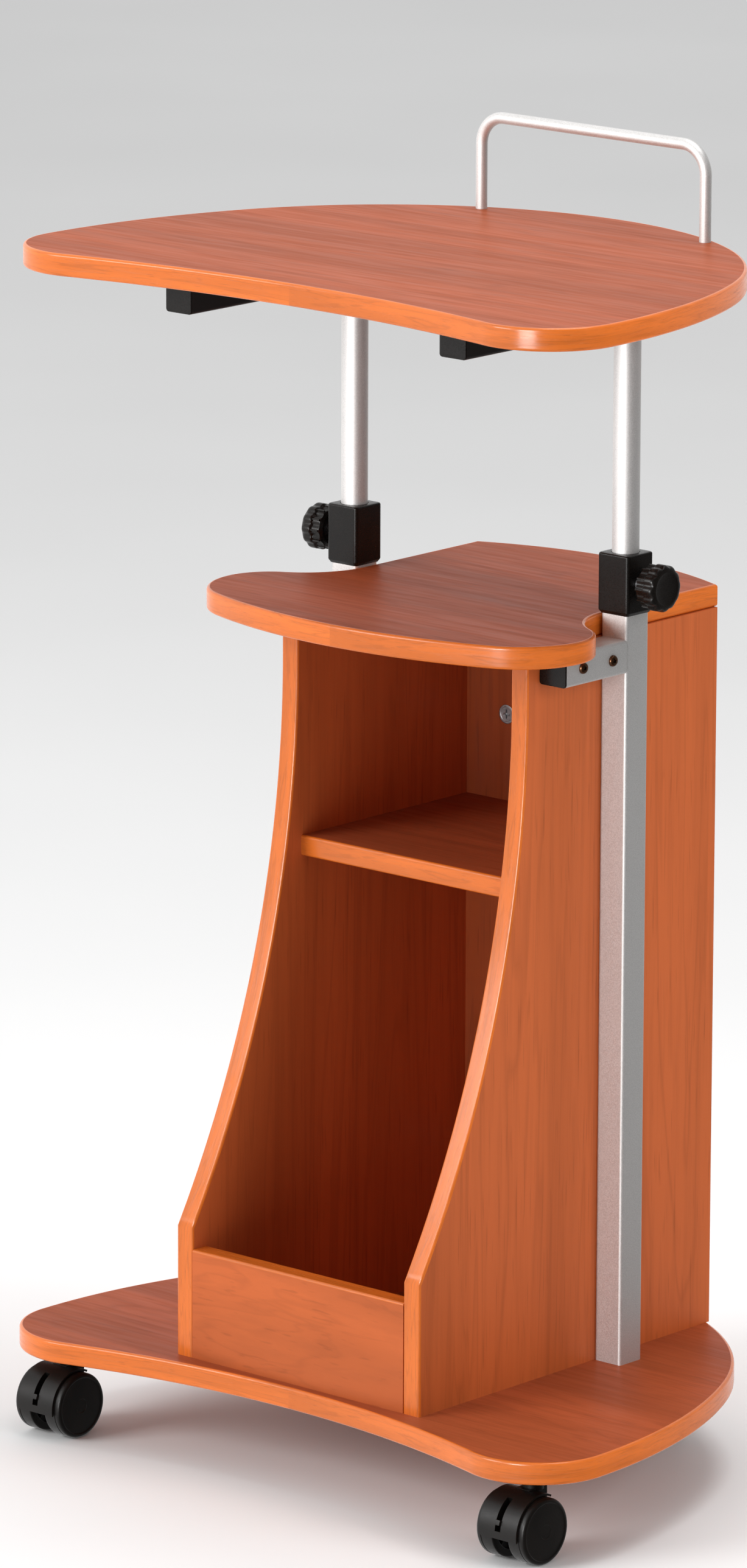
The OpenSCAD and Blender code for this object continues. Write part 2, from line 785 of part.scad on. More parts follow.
module wheel(front, s, w) color(black) placed() at_caster(front, s) side(w) {
  r = wheel_d / 2;
  translate([wheel_in, -trail, axle_z]) difference() {
    rotate([0, 90, 0]) rotate_extrude($fn = 128) polygon(concat(
      [[0, 0], [7, 0], [8, 1.5], [r - 5, 1.5], [r - 4, 0]],
      arc([r - 1.5, 1.5], 1.5, -90, 0, small_step),
      arc([r - 2.5, wheel_w - 2.5], 2.5, 0, 90, small_step),
      [[r - 5, wheel_w], [r - 6, wheel_w - 0.8], [0, wheel_w - 0.8]]));
    rod_x(axle_d + 2 * run_gap, -1, wheel_w - 1.9);
  }
}

module front_left_outer_wheel() wheel(true, -1, -1);
module front_left_inner_wheel() wheel(true, -1, 1);
module front_right_outer_wheel() wheel(true, 1, 1);
module front_right_inner_wheel() wheel(true, 1, -1);
module rear_left_outer_wheel() wheel(false, -1, -1);
module rear_left_inner_wheel() wheel(false, -1, 1);
module rear_right_outer_wheel() wheel(false, 1, 1);
module rear_right_inner_wheel() wheel(false, 1, -1);

// Brake lever in the hood's slot: it turns on its own trunnions, and its tab
// stands out of the hood.
module brake(s) color(black) placed() at_caster(true, s) {
  across(brake_w) {
    translate(brake_pin) circle(d = 6, $fn = 48);
    ring_sector(brake_pin_r - 2, hood_out + 2, 14, 22);
    ring_sector(brake_pin_r - 2, brake_pin_r + 2, 14, brake_pin_a);
  }
  across(web_w - 1) translate(brake_pin) circle(d = brake_pin_d, $fn = bore_fn);
}

module front_left_brake() brake(-1);
module front_right_brake() brake(1);

module caster_stems() color(steel) placed() at_casters() rod_z(stem_d, stem_floor, caster_h + stem_bite);

module caster_sockets() color(zinc) placed() at_casters() difference() {
  union() {
    rod_z(flange_d, caster_h - flange_t, caster_h);
    rod_z(sleeve_d, caster_h, caster_h + stem_bite + 1);
  }
  rod_z(stem_d, 0, caster_h + stem_bite);
}

// ---------------------------------------------------------------- drawing
base_board();
base_edging();
left_side_panel();
right_side_panel();
cabinet_edgings();
back_panel();
shelf();
front_board();
middle_board();
middle_edging();
left_leg();
right_leg();
left_bracket();
right_bracket();
bracket_end_caps();
bracket_screws();
left_collar();
right_collar();
collar_inserts();
leg_foot_plugs();
leg_bolts();
cam_locks();
cam_dowels();
board_dowels();
panel_screws();
caster_sockets();
caster_stems();
worktop();
worktop_edging();
left_post();
right_post();
post_plugs();
left_rail();
right_rail();
rail_end_caps();
rail_screws();
guard_rail();
guard_rail_screws();
left_knob();
right_knob();
left_knob_stud();
right_knob_stud();
front_left_housing();
front_right_housing();
rear_left_housing();
rear_right_housing();
front_left_axle();
front_right_axle();
rear_left_axle();
rear_right_axle();
front_left_outer_wheel();
front_left_inner_wheel();
front_right_outer_wheel();
front_right_inner_wheel();
rear_left_outer_wheel();
rear_left_inner_wheel();
rear_right_outer_wheel();
rear_right_inner_wheel();
front_left_brake();
front_right_brake();
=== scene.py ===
"""Looks of a lectern podium on casters: rounded board edges, cabinet, tubes, collars, knobs and casters."""

import math

import bmesh
import bpy
from bpy.props import BoolProperty, FloatProperty, FloatVectorProperty, IntProperty, PointerProperty
from mathutils import Matrix, Vector


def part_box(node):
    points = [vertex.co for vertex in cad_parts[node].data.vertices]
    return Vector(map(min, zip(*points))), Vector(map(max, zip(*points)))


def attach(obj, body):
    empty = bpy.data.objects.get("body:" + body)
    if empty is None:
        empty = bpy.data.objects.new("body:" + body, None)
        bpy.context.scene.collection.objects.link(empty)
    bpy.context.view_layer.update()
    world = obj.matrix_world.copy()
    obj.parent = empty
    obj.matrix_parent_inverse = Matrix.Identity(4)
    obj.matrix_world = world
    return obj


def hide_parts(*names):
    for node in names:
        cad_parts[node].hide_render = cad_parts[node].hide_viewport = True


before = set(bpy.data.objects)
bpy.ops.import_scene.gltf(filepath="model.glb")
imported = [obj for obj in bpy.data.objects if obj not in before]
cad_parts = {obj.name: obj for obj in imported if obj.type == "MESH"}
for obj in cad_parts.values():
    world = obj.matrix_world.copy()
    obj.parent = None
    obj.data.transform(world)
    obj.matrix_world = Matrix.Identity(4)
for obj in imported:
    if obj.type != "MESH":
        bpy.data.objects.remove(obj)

bl_info = {
    "name": "Lectern podium looks",
    "version": (1, 0, 0),
    "blender": (4, 5, 0),
    "location": "3D View > Sidebar > Podium",
    "description": "Finishes the packed lectern podium: boards, tubes, collars, knobs, casters and stage",
    "category": "Object",
}

MM = 0.001
SAME = 1e-6  # points nearer than this are one point
LAP = 0.4 * MM  # how far an edge strip reaches behind its board's edge
SPARE = 0.1 * MM  # least flat left between a strip's arrises and its back
SIDES = (("left", -1), ("right", 1))
ENDS = ("front", "rear")


# ------------------------------------------------------------ settings
def length(name, description, default):
    return FloatProperty(name=name, description=description, default=default, subtype="DISTANCE")


def tint(name, description, default):
    return FloatVectorProperty(name=name, description=description, default=default, subtype="COLOR", min=0, max=1)


def power(name, description, default):
    return FloatProperty(name=name, description=description, default=default, subtype="POWER")


class BoardSettings(bpy.types.PropertyGroup):
    """Outlines and edges of the boards."""

    lobe_radius: length("Lobe radius", "Radius of the rounded front lobes", 0.060)
    side_radius: length("Side radius", "Radius of the long side curves", 0.450)
    top_hollow: length("Worktop hollow", "How far the worktop's front edge is hollowed", 0.024)
    base_hollow: length("Base hollow", "How far the base's front edge is hollowed", 0.032)
    arris: length("Arris radius", "Rounding of the edge strips", 0.0022)
    proud: length("Strip height", "How far an edge strip stands over the board's face", 0.00005)
    top_colour: tint("Board colour", "Laminate on worktop, middle board and base", (0.385, 0.085, 0.030))
    panel_colour: tint("Panel colour", "Laminate on the cabinet's panels", (0.52, 0.118, 0.032))
    edge_colour: tint("Edge colour", "Edge strips", (0.74, 0.168, 0.021))


class MiddleSettings(bpy.types.PropertyGroup):
    """Outline of the middle board."""

    front_radius: length("Front radius", "Radius of the bowed front", 0.400)
    back_radius: length("Back radius", "Radius of the bowed back", 0.290)
    wing_front: length("Wing front radius", "Radius of the wings' front corners", 0.060)
    wing_back: length("Wing back radius", "Radius of the wings' rear corners", 0.044)
    hollow: length("Hollow radius", "Radius of the hollow corners before the legs", 0.060)
    leg_gap: length("Leg gap", "Gap between the board and the legs", 0.002)


class CabinetSettings(bpy.types.PropertyGroup):
    """Shape of the side panels' front."""

    foot: length("Foot height", "Height of the upright foot of the front edge", 0.102)
    setback: length("Setback", "How far the upper front edge stands back", 0.118)
    curve_top: length("Curve top", "Height at which the curved edge becomes upright", 0.524)
    arris: length("Panel arris", "Rounding of the panels' rear edges", 0.0008)


class MetalSettings(bpy.types.PropertyGroup):
    """Colours of the metal and plastic parts."""

    silver: tint("Silver paint", "Legs, posts, brackets and guard rail", (0.66, 0.65, 0.64))
    black: tint("Black plastic", "Collars, knobs, caps and casters", (0.0065, 0.0048, 0.0038))
    bronze: tint("Screw bronze", "Bracket screws", (0.17, 0.080, 0.042))


class KnobSettings(bpy.types.PropertyGroup):
    """Shape of the knobs."""

    flutes: IntProperty(name="Flutes", description="Number of flutes round a knob", default=12, min=6, max=24)
    flute_depth: length("Flute depth", "Depth of the flutes", 0.0013)
    fin: length("Fin height", "Height of the fins behind the head", 0.0011)


class StageSettings(bpy.types.PropertyGroup):
    """Camera, light and floor."""

    lens: FloatProperty(
        name="Lens", description="Focal length of the camera", default=211.81, subtype="DISTANCE_CAMERA"
    )
    camera: FloatVectorProperty(
        name="Camera", description="Place of the camera", default=(4.4560, -5.1054, 2.1153), subtype="TRANSLATION",
        unit="LENGTH",
    )
    target: FloatVectorProperty(
        name="Target", description="Point that the camera looks at", default=(0.0422, -0.1256, 0.5477),
        subtype="TRANSLATION", unit="LENGTH",
    )
    roll: FloatProperty(name="Roll", description="Roll of the camera", default=math.radians(0.188), subtype="ANGLE")
    key_power: power("Key light", "Power of the key light", 108.0)
    fill_power: power("Fill light", "Power of the fill light", 54.0)
    card_power: power("Card", "Power of the front card, which only shows in reflections", 190.0)
    top_power: power("Top light", "Power of the top light", 40.0)
    show_floor: BoolProperty(name="Floor", description="Lay a pale floor under the podium", default=True)


# ------------------------------------------------------------ materials
class Finish:
    """A node material under construction."""

    def __init__(self, name, roughness, metallic=0.0, specular=0.5):
        self.material = bpy.data.materials.new(name)
        self.material.use_nodes = True
        self.tree = self.material.node_tree
        self.shader = self.tree.nodes["Principled BSDF"]
        self.shader.inputs["Roughness"].default_value = roughness
        self.shader.inputs["Metallic"].default_value = metallic
        self.shader.inputs["Specular IOR Level"].default_value = specular

    def add(self, kind, settings=None, **inputs):
        """Adds a node; inputs are values or other nodes' sockets, keyed by the socket's name or number."""
        node = self.tree.nodes.new("ShaderNode" + kind)
        for key, value in (settings or {}).items():
            setattr(node, key, value)
        for key, value in inputs.items():
            socket = node.inputs[int(key[1:])] if key[0] == "_" else node.inputs[key.replace("_", " ")]
            self.feed(socket, value)
        return node

    def feed(self, socket, value):
        if isinstance(value, bpy.types.NodeSocket):
            self.tree.links.new(value, socket)
        else:
            socket.default_value = value

    def place(self, scale, source="Object"):
        """Coordinates stretched by scale: the piece's own metres, or its UV map."""
        coordinates = self.add("TexCoord")
        return self.add("Mapping", Vector=coordinates.outputs[source], Scale=scale).outputs["Vector"]

    def noise(self, where, scale, detail=3.0, rough=0.55, twist=0.0):
        return self.add("TexNoise", Vector=where, Scale=scale, Detail=detail, Roughness=rough, Distortion=twist)

    def spread(self, value, low, high, to_low=0.0, to_high=1.0):
        """Maps low..high of value to to_low..to_high, clamped."""
        return self.add(
            "MapRange", Value=value, From_Min=low, From_Max=high, To_Min=to_low, To_Max=to_high
        ).outputs["Result"]

    def mix(self, factor, first, second, blend="MIX"):
        node = self.add("Mix", {"data_type": "RGBA", "blend_type": blend})
        self.feed(node.inputs["Factor"], factor)
        self.feed(node.inputs[6], first)
        self.feed(node.inputs[7], second)
        return node.outputs[2]

    def sum(self, first, second, operation="ADD"):
        return self.add("Math", {"operation": operation}, _0=first, _1=second).outputs[0]

    def done(self, colour, roughness, height, strength, distance):
        """Wires the shader up, with a bump of this height, and returns the material."""
        self.feed(self.shader.inputs["Base Color"], colour)
        self.feed(self.shader.inputs["Roughness"], roughness)
        bump = self.add("Bump", Height=height, Strength=strength, Distance=distance)
        self.feed(self.shader.inputs["Normal"], bump.outputs["Normal"])
        return self.material

    def wear_and_highlight_mask(self, radius):
        """1 on the piece's sharp edges, 0 on its faces: the mask for edge wear and painted edge highlights."""
        rounded = self.add("Bevel", {"samples": 4}, Radius=radius)
        true = self.add("NewGeometry")
        match = self.add(
            "VectorMath", {"operation": "DOT_PRODUCT"}, _0=rounded.outputs["Normal"], _1=true.outputs["Normal"]
        )
        return self.spread(match.outputs["Value"], 0.995, 0.90)


def rgba(colour, factor=1.0):
    return (*[channel * factor for channel in colour], 1.0)


def wood(name, colour, stretch, source="Object", contrast=1.0, lines=1.0, roughness=0.42, specular=0.16):
    """Wood-grain laminate: broad figure, growth lines, fibres and short pores along the grain."""
    finish = Finish(name, roughness, specular=specular)
    where = finish.place(stretch, source)
    bend = finish.noise(where, 0.45, 2.0, 0.5)
    bent = finish.add(
        "VectorMath", {"operation": "MULTIPLY_ADD"}, _0=bend.outputs["Color"], _1=(2.6, 2.6, 2.6), _2=where
    )
    figure = finish.noise(bent.outputs["Vector"], 1.1, 3.0, 0.5, 0.5).outputs["Fac"]
    growth = finish.noise(bent.outputs["Vector"], 3.4, 2.0, 0.45, 0.7).outputs["Fac"]
    step = finish.sum(growth, 9.0, "MULTIPLY")
    saw = finish.sum(step, 1.0, "PINGPONG")
    fibre = finish.noise(where, 13.0, 4.0, 0.6).outputs["Fac"]
    pore = finish.noise(where, 34.0, 1.0, 0.4).outputs["Fac"]
    tone = finish.mix(
        finish.spread(figure, 0.36, 0.64), rgba(colour, 1.0 - 0.16 * contrast), rgba(colour, 1.0 + 0.17 * contrast)
    )
    tone = finish.mix(finish.spread(saw, 0.0, 0.34, 0.46 * lines, 0.0), tone, rgba(colour, 0.52))
    tone = finish.mix(finish.spread(fibre, 0.46, 0.70, 0.0, 0.26 * contrast), tone, rgba(colour, 0.60))
    tone = finish.mix(finish.spread(pore, 0.64, 0.74, 0.0, 0.36 * contrast), tone, rgba(colour, 0.36))
    sheen = finish.spread(fibre, 0.35, 0.70, roughness - 0.05, roughness + 0.09)
    relief = finish.sum(fibre, finish.spread(pore, 0.62, 0.76, 0.0, -0.8))
    return finish.done(tone, sheen, relief, 0.16, 0.12 * MM)


def paint(name, colour, metallic, roughness, speckle, wear_and_highlight_strength=0.25):
    """Powder coat: fine metal speckle, a little orange peel, lighter along its edges as wear and painted highlight.
    """
    finish = Finish(name, roughness, metallic, specular=0.3)
    where = finish.place((1, 1, 1))
    flake = finish.noise(where, 1500.0, 1.0, 0.5).outputs["Fac"]
    cloud = finish.noise(where, 9.0, 3.0, 0.55).outputs["Fac"]
    peel = finish.noise(where, 420.0, 2.0, 0.5).outputs["Fac"]
    tone = finish.mix(finish.spread(flake, 0.34, 0.66), rgba(colour, 1.0 - speckle), rgba(colour, 1.0 + speckle))
    tone = finish.mix(finish.spread(cloud, 0.40, 0.70, 0.0, 0.10), tone, rgba(colour, 0.86))
    edge_wear_and_highlight = 1.35 if colour[0] > 0.1 else 2.5  # dark paint gets more wear and a stronger painted edge highlight
    # painted highlight: the sharp edges are lightened in the colour to stand in for glints along them, together
    # with wear
    tone = finish.mix(finish.sum(finish.wear_and_highlight_mask(0.7 * MM), wear_and_highlight_strength, "MULTIPLY"), tone, rgba(colour, edge_wear_and_highlight))
    sheen = finish.spread(flake, 0.3, 0.7, roughness - 0.05, roughness + 0.06)
    relief = finish.sum(peel, finish.sum(flake, 0.35, "MULTIPLY"))
    return finish.done(tone, sheen, relief, 0.10, 0.06 * MM)


def plastic(name, colour, roughness, texture, wear_and_highlight_strength=0.5):
    """Moulded plastic: spark-eroded texture, faint flow marks, lighter along its edges as wear and painted
    highlight.
    """
    finish = Finish(name, roughness, specular=0.26)
    where = finish.place((1, 1, 1))
    grain = finish.noise(where, texture, 3.0, 0.6).outputs["Fac"]
    flow = finish.noise(where, 35.0, 2.0, 0.5, 0.6).outputs["Fac"]
    edge_breakup = finish.noise(where, 160.0, 4.0, 0.7).outputs["Fac"]
    tone = finish.mix(finish.spread(flow, 0.35, 0.70), rgba(colour, 0.82), rgba(colour, 1.30))
    # painted highlight: edges lightened in the colour, broken up by noise, stand in for glints on the edges as well
    # as wear
    edge_wear_and_highlight = finish.sum(finish.wear_and_highlight_mask(0.6 * MM), finish.spread(edge_breakup, 0.30, 0.70, 0.3, 1.0), "MULTIPLY")
    tone = finish.mix(finish.sum(edge_wear_and_highlight, wear_and_highlight_strength, "MULTIPLY"), tone, rgba(colour, 3.4))
    sheen = finish.spread(grain, 0.35, 0.70, roughness - 0.05, roughness + 0.07)
    sheen = finish.sum(sheen, finish.sum(edge_wear_and_highlight, 0.10, "MULTIPLY"), "SUBTRACT")
    return finish.done(tone, sheen, grain, 0.14, 0.08 * MM)


def metal(name, colour, roughness, brush=(1, 1, 1), scale=700.0):
    """Bare or plated metal with fine tool marks."""
    finish = Finish(name, roughness, 1.0)
    where = finish.place(brush)
    mark = finish.noise(where, scale, 3.0, 0.6).outputs["Fac"]
    stain = finish.noise(where, 60.0, 3.0, 0.5).outputs["Fac"]
    tone = finish.mix(finish.spread(stain, 0.40, 0.72), rgba(colour, 1.08), rgba(colour, 0.74))
    sheen = finish.spread(mark, 0.3, 0.7, roughness - 0.08, roughness + 0.10)
    return finish.done(tone, sheen, mark, 0.12, 0.05 * MM)


BOARDS = {
    # finish: (colour's setting, stretch, coordinates, contrast, lines, roughness, specular)
    "board_top": ("top_colour", (0.9, 15, 15), "Object", 0.8, 0.58, 0.44, 0.07),
    "board_panel": ("panel_colour", (13, 13, 0.60), "Object", 0.7, 0.5, 0.40, 0.16),
    "front_panel": ("panel_colour", (1.5, 6, 9), "Object", 0.7, 0.42, 0.40, 0.16),
    "board_edge": ("edge_colour", (2.6, 40, 40), "UV", 0.9, 0.8, 0.22, 0.45),
}
MAKERS = {
    "silver_paint": lambda s: paint("silver_paint", s.podium_metals.silver, 0.70, 0.54, 0.10),
    "black_paint": lambda s: paint("black_paint", s.podium_metals.black, 0.0, 0.38, 0.20, 0.5),
    "black_plastic": lambda s: plastic("black_plastic", s.podium_metals.black, 0.30, 900.0, 0.8),
    "caster_plastic": lambda s: plastic("caster_plastic", s.podium_metals.black, 0.42, 700.0),
    "caster_tyre": lambda s: plastic("caster_tyre", s.podium_metals.black, 0.40, 500.0),
    "bronze_screw": lambda s: metal("bronze_screw", s.podium_metals.bronze, 0.30),
    "zinc": lambda s: metal("zinc", (0.42, 0.42, 0.43), 0.42),
    "steel": lambda s: metal("steel", (0.56, 0.56, 0.57), 0.26, (1, 1, 1), 1100.0),
    "nylon": lambda s: plastic("nylon", (0.66, 0.64, 0.58), 0.45, 600.0, 0.1),
    "beech": lambda s: wood("beech", (0.60, 0.40, 0.21), (30, 30, 4), contrast=0.6, lines=0.4),
}


def material(name):
    """The finish of that name, made when it is first asked for."""
    made = bpy.data.materials.get(name + "_finish")
    if made is None:
        scene = bpy.context.scene
        if name in BOARDS:
            colour, *rest = BOARDS[name]
            made = wood(name, getattr(scene.podium_boards, colour), *rest)
        else:
            made = MAKERS[name](scene)
        made.name = name + "_finish"
    return made


def give(node, name):
    """A packed node keeps its shape and takes this finish."""
    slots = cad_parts[node].data.materials
    slots.clear()
    slots.append(material(name))


# ------------------------------------------------------------ shapes
def arc(centre, radius, start, stop, step=2.0):
    """Points of an arc, angles in degrees, both ends included."""
    count = max(2, math.ceil(abs(stop - start) / step))
    turns = [math.radians(start + (stop - start) * i / count) for i in range(count + 1)]
    return [Vector((centre[0] + radius * math.cos(t), centre[1] + radius * math.sin(t))) for t in turns]


def without_repeats(points, closed=True):
    kept = [p for i, p in enumerate(points) if i == 0 or (p - points[i - 1]).length > SAME]
    if closed and (kept[0] - kept[-1]).length < SAME:
        kept.pop()
    return kept


def both_halves(right):
    """A whole outline from its right half, which runs from the front to the back."""
    return without_repeats(right + [Vector((-p.x, p.y)) for p in reversed(right)])


def deck_outline(low, high, hollow, lobe_r, side_r):
    """Outline of the worktop and the base: hollow front, two lobes, long sides and a bowed back."""
    half = (high.x - low.x) / 2
    lobe = Vector((half - lobe_r, low.y + lobe_r))
    hollow_r = (lobe.x**2 + (lobe_r - hollow) ** 2 - lobe_r**2) / (2 * hollow)
    front = Vector((0, low.y + hollow - hollow_r))
    lobe_from = math.degrees(math.atan2(front.y - lobe.y, front.x - lobe.x))
    run = high.y - low.y - lobe_r
    side_in = side_r - half
    back_r = (side_r**2 - side_in**2 - run**2) / (2 * (side_r - run))
    back = Vector((0, high.y - back_r))
    side = Vector((-side_in, lobe.y))
    side_to = math.degrees(math.atan2(back.y - side.y, side_in))
    return both_halves(
        arc(front, hollow_r, 90, lobe_from + 180, 0.5)
        + arc(lobe, lobe_r, lobe_from, 0)
        + arc(side, side_r, 0, side_to, 0.8)
        + arc(back, back_r, side_to, 90, 1.5)
    )


def middle_outline(low, high, side, shape):
    """Outline of the middle board: bowed front, two wings, hollows before the legs, bowed back."""
    half = (high.x - low.x) / 2
    front = Vector((0, low.y + shape.front_radius))
    tip = Vector((half - shape.wing_front, 0))
    tip.y = front.y - math.sqrt((shape.front_radius - shape.wing_front) ** 2 - tip.x**2)
    front_to = math.degrees(math.atan2(tip.y - front.y, tip.x))
    back_tip = Vector((half - shape.wing_back, tip.y))
    across = side + shape.hollow - back_tip.x
    along = math.sqrt((shape.hollow + shape.wing_back) ** 2 - across**2)
    tip_to = math.degrees(math.atan2(along, across))
    back = Vector((0, high.y - shape.back_radius))
    back_from = math.degrees(math.acos(side / shape.back_radius))
    return both_halves(
        arc(front, shape.front_radius, -90, front_to, 0.8)
        + arc(tip, shape.wing_front, front_to, 0)
        + arc(back_tip, shape.wing_back, 0, tip_to)
        + arc(back_tip + Vector((across, along)), shape.hollow, tip_to + 180, 180)
        + arc(back, shape.back_radius, back_from, 90, 0.8)
    )


def inward(points, closed=True):
    """For each point of an anticlockwise outline, the step that moves it 1 m inwards, longer at corners."""
    steps = []
    count = len(points)
    for i, point in enumerate(points):
        before = points[i - 1] if closed or i > 0 else point
        after = points[(i + 1) % count] if closed or i < count - 1 else point
        sides = [d.normalized() for d in (point - before, after - point) if d.length > 1e-9]
        lefts = [Vector((-d.y, d.x)) for d in sides]
        middle = sum(lefts, Vector((0, 0))).normalized()
        steps.append(middle / max(0.35, middle.dot(lefts[0])))
    return steps


def strip_section(thick, width, radius, steps=6):
    """Section of an edge strip, as (depth behind the edge, place across it), with two rounded arrises."""
    low = [Vector((radius - radius * math.sin(t), radius - radius * math.cos(t)))
           for t in (math.pi / 2 * i / steps for i in range(steps + 1))]
    high = [Vector((p.x, width - p.y)) for p in reversed(low)]
    return [Vector((thick, 0))] * (thick > radius) + low + high + [Vector((thick, width))] * (thick > radius)


def sweep(points, section, place, closed=True):
    """Mesh of a section carried along an outline; place(point, across) gives corners. Its UV map is in metres."""
    steps = inward(points, closed)
    shape = bmesh.new()
    uv = shape.loops.layers.uv.new("grain")
    rings = [[shape.verts.new(place(p + s * a.x, a.y)) for a in section] for p, s in zip(points, steps)]
    ring_count, section_count = len(rings), len(section)
    along = [0.0]
    for i in range(1, ring_count + 1):
        along.append(along[-1] + (points[i % ring_count] - points[i - 1]).length)
    across = [0.0]
    for j in range(1, section_count + 1):
        across.append(across[-1] + (section[j % section_count] - section[j - 1]).length)
    for i in range(ring_count if closed else ring_count - 1):
        for j in range(section_count):
            i2, j2 = (i + 1) % ring_count, (j + 1) % section_count
            face = shape.faces.new((rings[i][j], rings[i2][j], rings[i2][j2], rings[i][j2]))
            corners = ((along[i], across[j]), (along[i + 1], across[j]), (along[i + 1], across[j + 1]),
                       (along[i], across[j + 1]))
            for loop, corner in zip(face.loops, corners):
                loop[uv].uv = corner
    if not closed:
        for ring in (rings[0], rings[-1]):
            cap = shape.faces.new(ring)
            for loop, a in zip(cap.loops, section):
                loop[uv].uv = a
    return shape


def lathe(profile, steps=72, waves=0, depth=None):
    """Mesh of a profile of (radius, place along the axis) turned round X. depth(place) sinks waves into it."""
    shape = bmesh.new()
    rings = []
    for radius, along in profile:
        if radius < 1e-9:
            rings.append([shape.verts.new((along, 0, 0))])
            continue
        ring = []
        for i in range(steps):
            turn = 2 * math.pi * i / steps
            sunk = depth(along) * (0.5 - 0.5 * math.cos(waves * turn)) ** 1.6 if depth else 0.0
            reach = radius - sunk
            ring.append(shape.verts.new((along, reach * math.sin(turn), reach * math.cos(turn))))
        rings.append(ring)
    for first, second in zip(rings, rings[1:]):
        join_rings(shape, first, second)
    return shape


def join_rings(shape, first, second):
    if len(first) == 1 and len(second) == 1:
        return
    count = max(len(first), len(second))
    for i in range(count):
        k = (i + 1) % count
        if len(first) == 1:
            shape.faces.new((first[0], second[k], second[i]))
        elif len(second) == 1:
            shape.faces.new((first[i], first[k], second[0]))
        else:
            shape.faces.new((first[i], first[k], second[k], second[i]))


def rounded_square(half, radius, steps=6):
    """Points of a square with rounded corners, anticlockwise from the right."""
    points = []
    for x, y, start in ((1, 1, 0), (-1, 1, 90), (-1, -1, 180), (1, -1, 270)):
        points += arc((x * (half - radius), y * (half - radius)), radius, start, start + 90, 90 / steps)
    return points


def circle_like(points, radius):
    """A circle with one point for each of these, in the same directions."""
    return [p.normalized() * radius for p in points]


def skin(levels, place, wrap=False):
    """Mesh through loops of as many points each. levels is (loop, height); place(point, height) gives corners."""
    shape = bmesh.new()
    rings = [[shape.verts.new(place(p, height)) for p in loop] for loop, height in levels]
    pairs = list(zip(rings, rings[1:])) + ([(rings[-1], rings[0])] if wrap else [])
    for first, second in pairs:
        join_rings(shape, first, second)
    if not wrap:
        shape.faces.new(rings[0])
        shape.faces.new(rings[-1])
    return shape


def block(low, high):
    """Mesh of a box, for cutters and ribs."""
    shape = bmesh.new()
    bmesh.ops.create_cube(shape, size=1.0)
    size, middle = high - low, (high + low) / 2
    for v in shape.verts:
        v.co = Vector([v.co[k] * size[k] + middle[k] for k in range(3)])
    return shape


def moved(shape, matrix):
    bmesh.ops.transform(shape, matrix=matrix, verts=shape.verts)
    return shape


def facing(place, sign):
    """Matrix that sets a part made along +X at a place, turned round to -X where sign is negative."""
    return Matrix.Translation(place) @ Matrix.Rotation(0 if sign > 0 else math.pi, 4, "Z")


def merged(*shapes):
    """One mesh of several."""
    whole = bmesh.new()
    for shape in shapes:
        part = bpy.data.meshes.new("part")
        shape.to_mesh(part)
        whole.from_mesh(part)
        shape.free()
        bpy.data.meshes.remove(part)
    return whole


def copy_of(node):
    """A packed node's triangles, merged into clean faces."""
    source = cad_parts[node].data
    shape = bmesh.new()
    corners = [shape.verts.new(v.co) for v in source.vertices]
    for polygon in source.polygons:
        shape.faces.new([corners[i] for i in polygon.vertices])
    bmesh.ops.remove_doubles(shape, verts=shape.verts, dist=3e-6)
    bmesh.ops.dissolve_degenerate(shape, edges=shape.edges, dist=1e-6)
    bmesh.ops.dissolve_limit(
        shape, angle_limit=math.radians(0.5), verts=shape.verts, edges=shape.edges, use_dissolve_boundaries=False
    )
    return shape


def object_of(name, shape):
    mesh = bpy.data.meshes.new(name)
    shape.to_mesh(mesh)
    shape.free()
    made = bpy.data.objects.new(name, mesh)
    bpy.context.scene.collection.objects.link(made)
    return made


def applied(made):
    """The object with its modifiers made part of a plain mesh."""
    bpy.context.view_layer.update()
    graph = bpy.context.evaluated_depsgraph_get()
    plain = bpy.data.meshes.new_from_object(
        made.evaluated_get(graph), preserve_all_data_layers=True, depsgraph=graph
    )
    old = made.data
    made.modifiers.clear()
    made.data = plain
    plain.name = made.name
    bpy.data.meshes.remove(old)
    return made


def cut_out(made, cutters):
    """Takes the cutters' shapes out of an object, one after the other."""
    for cutter in cutters:
        bmesh.ops.recalc_face_normals(cutter, faces=cutter.faces)
        knife = object_of("knife", cutter)
        cut = made.modifiers.new("cut", "BOOLEAN")
        cut.operation = "DIFFERENCE"
        cut.solver = "EXACT"
        cut.object = knife
        applied(made)
        bpy.data.objects.remove(knife)


def piece(name, shape, finish, body, stands_for, bevel=0.0, cutters=(), sharp=32.0):
    """A finished piece: cut, bevelled, smooth over its curves, riding on its body in place of its nodes."""
    bmesh.ops.remove_doubles(shape, verts=shape.verts, dist=1e-7)
    bmesh.ops.recalc_face_normals(shape, faces=shape.faces)
    made = object_of(name, shape)
    cut_out(made, cutters)
    if bevel:
        rounding = made.modifiers.new("arris", "BEVEL")
        rounding.width = bevel
        rounding.segments = 3
        rounding.limit_method = "ANGLE"
        rounding.angle_limit = math.radians(38)
        rounding.harden_normals = False
        applied(made)
    soften(made.data, sharp)
    weighted = made.modifiers.new("normals", "WEIGHTED_NORMAL")
    weighted.keep_sharp = True
    applied(made)
    made.data.materials.clear()
    made.data.materials.append(material(finish))
    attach(made, body)
    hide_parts(*stands_for)
    return made


def soften(mesh, sharp):
    """Smooth faces, with creases where the surface turns by more than sharp degrees."""
    shape = bmesh.new()
    shape.from_mesh(mesh)
    for face in shape.faces:
        face.smooth = True
    for edge in shape.edges:
        edge.smooth = len(edge.link_faces) == 2 and edge.calc_face_angle(0.0) < math.radians(sharp)
    shape.to_mesh(mesh)
    shape.free()


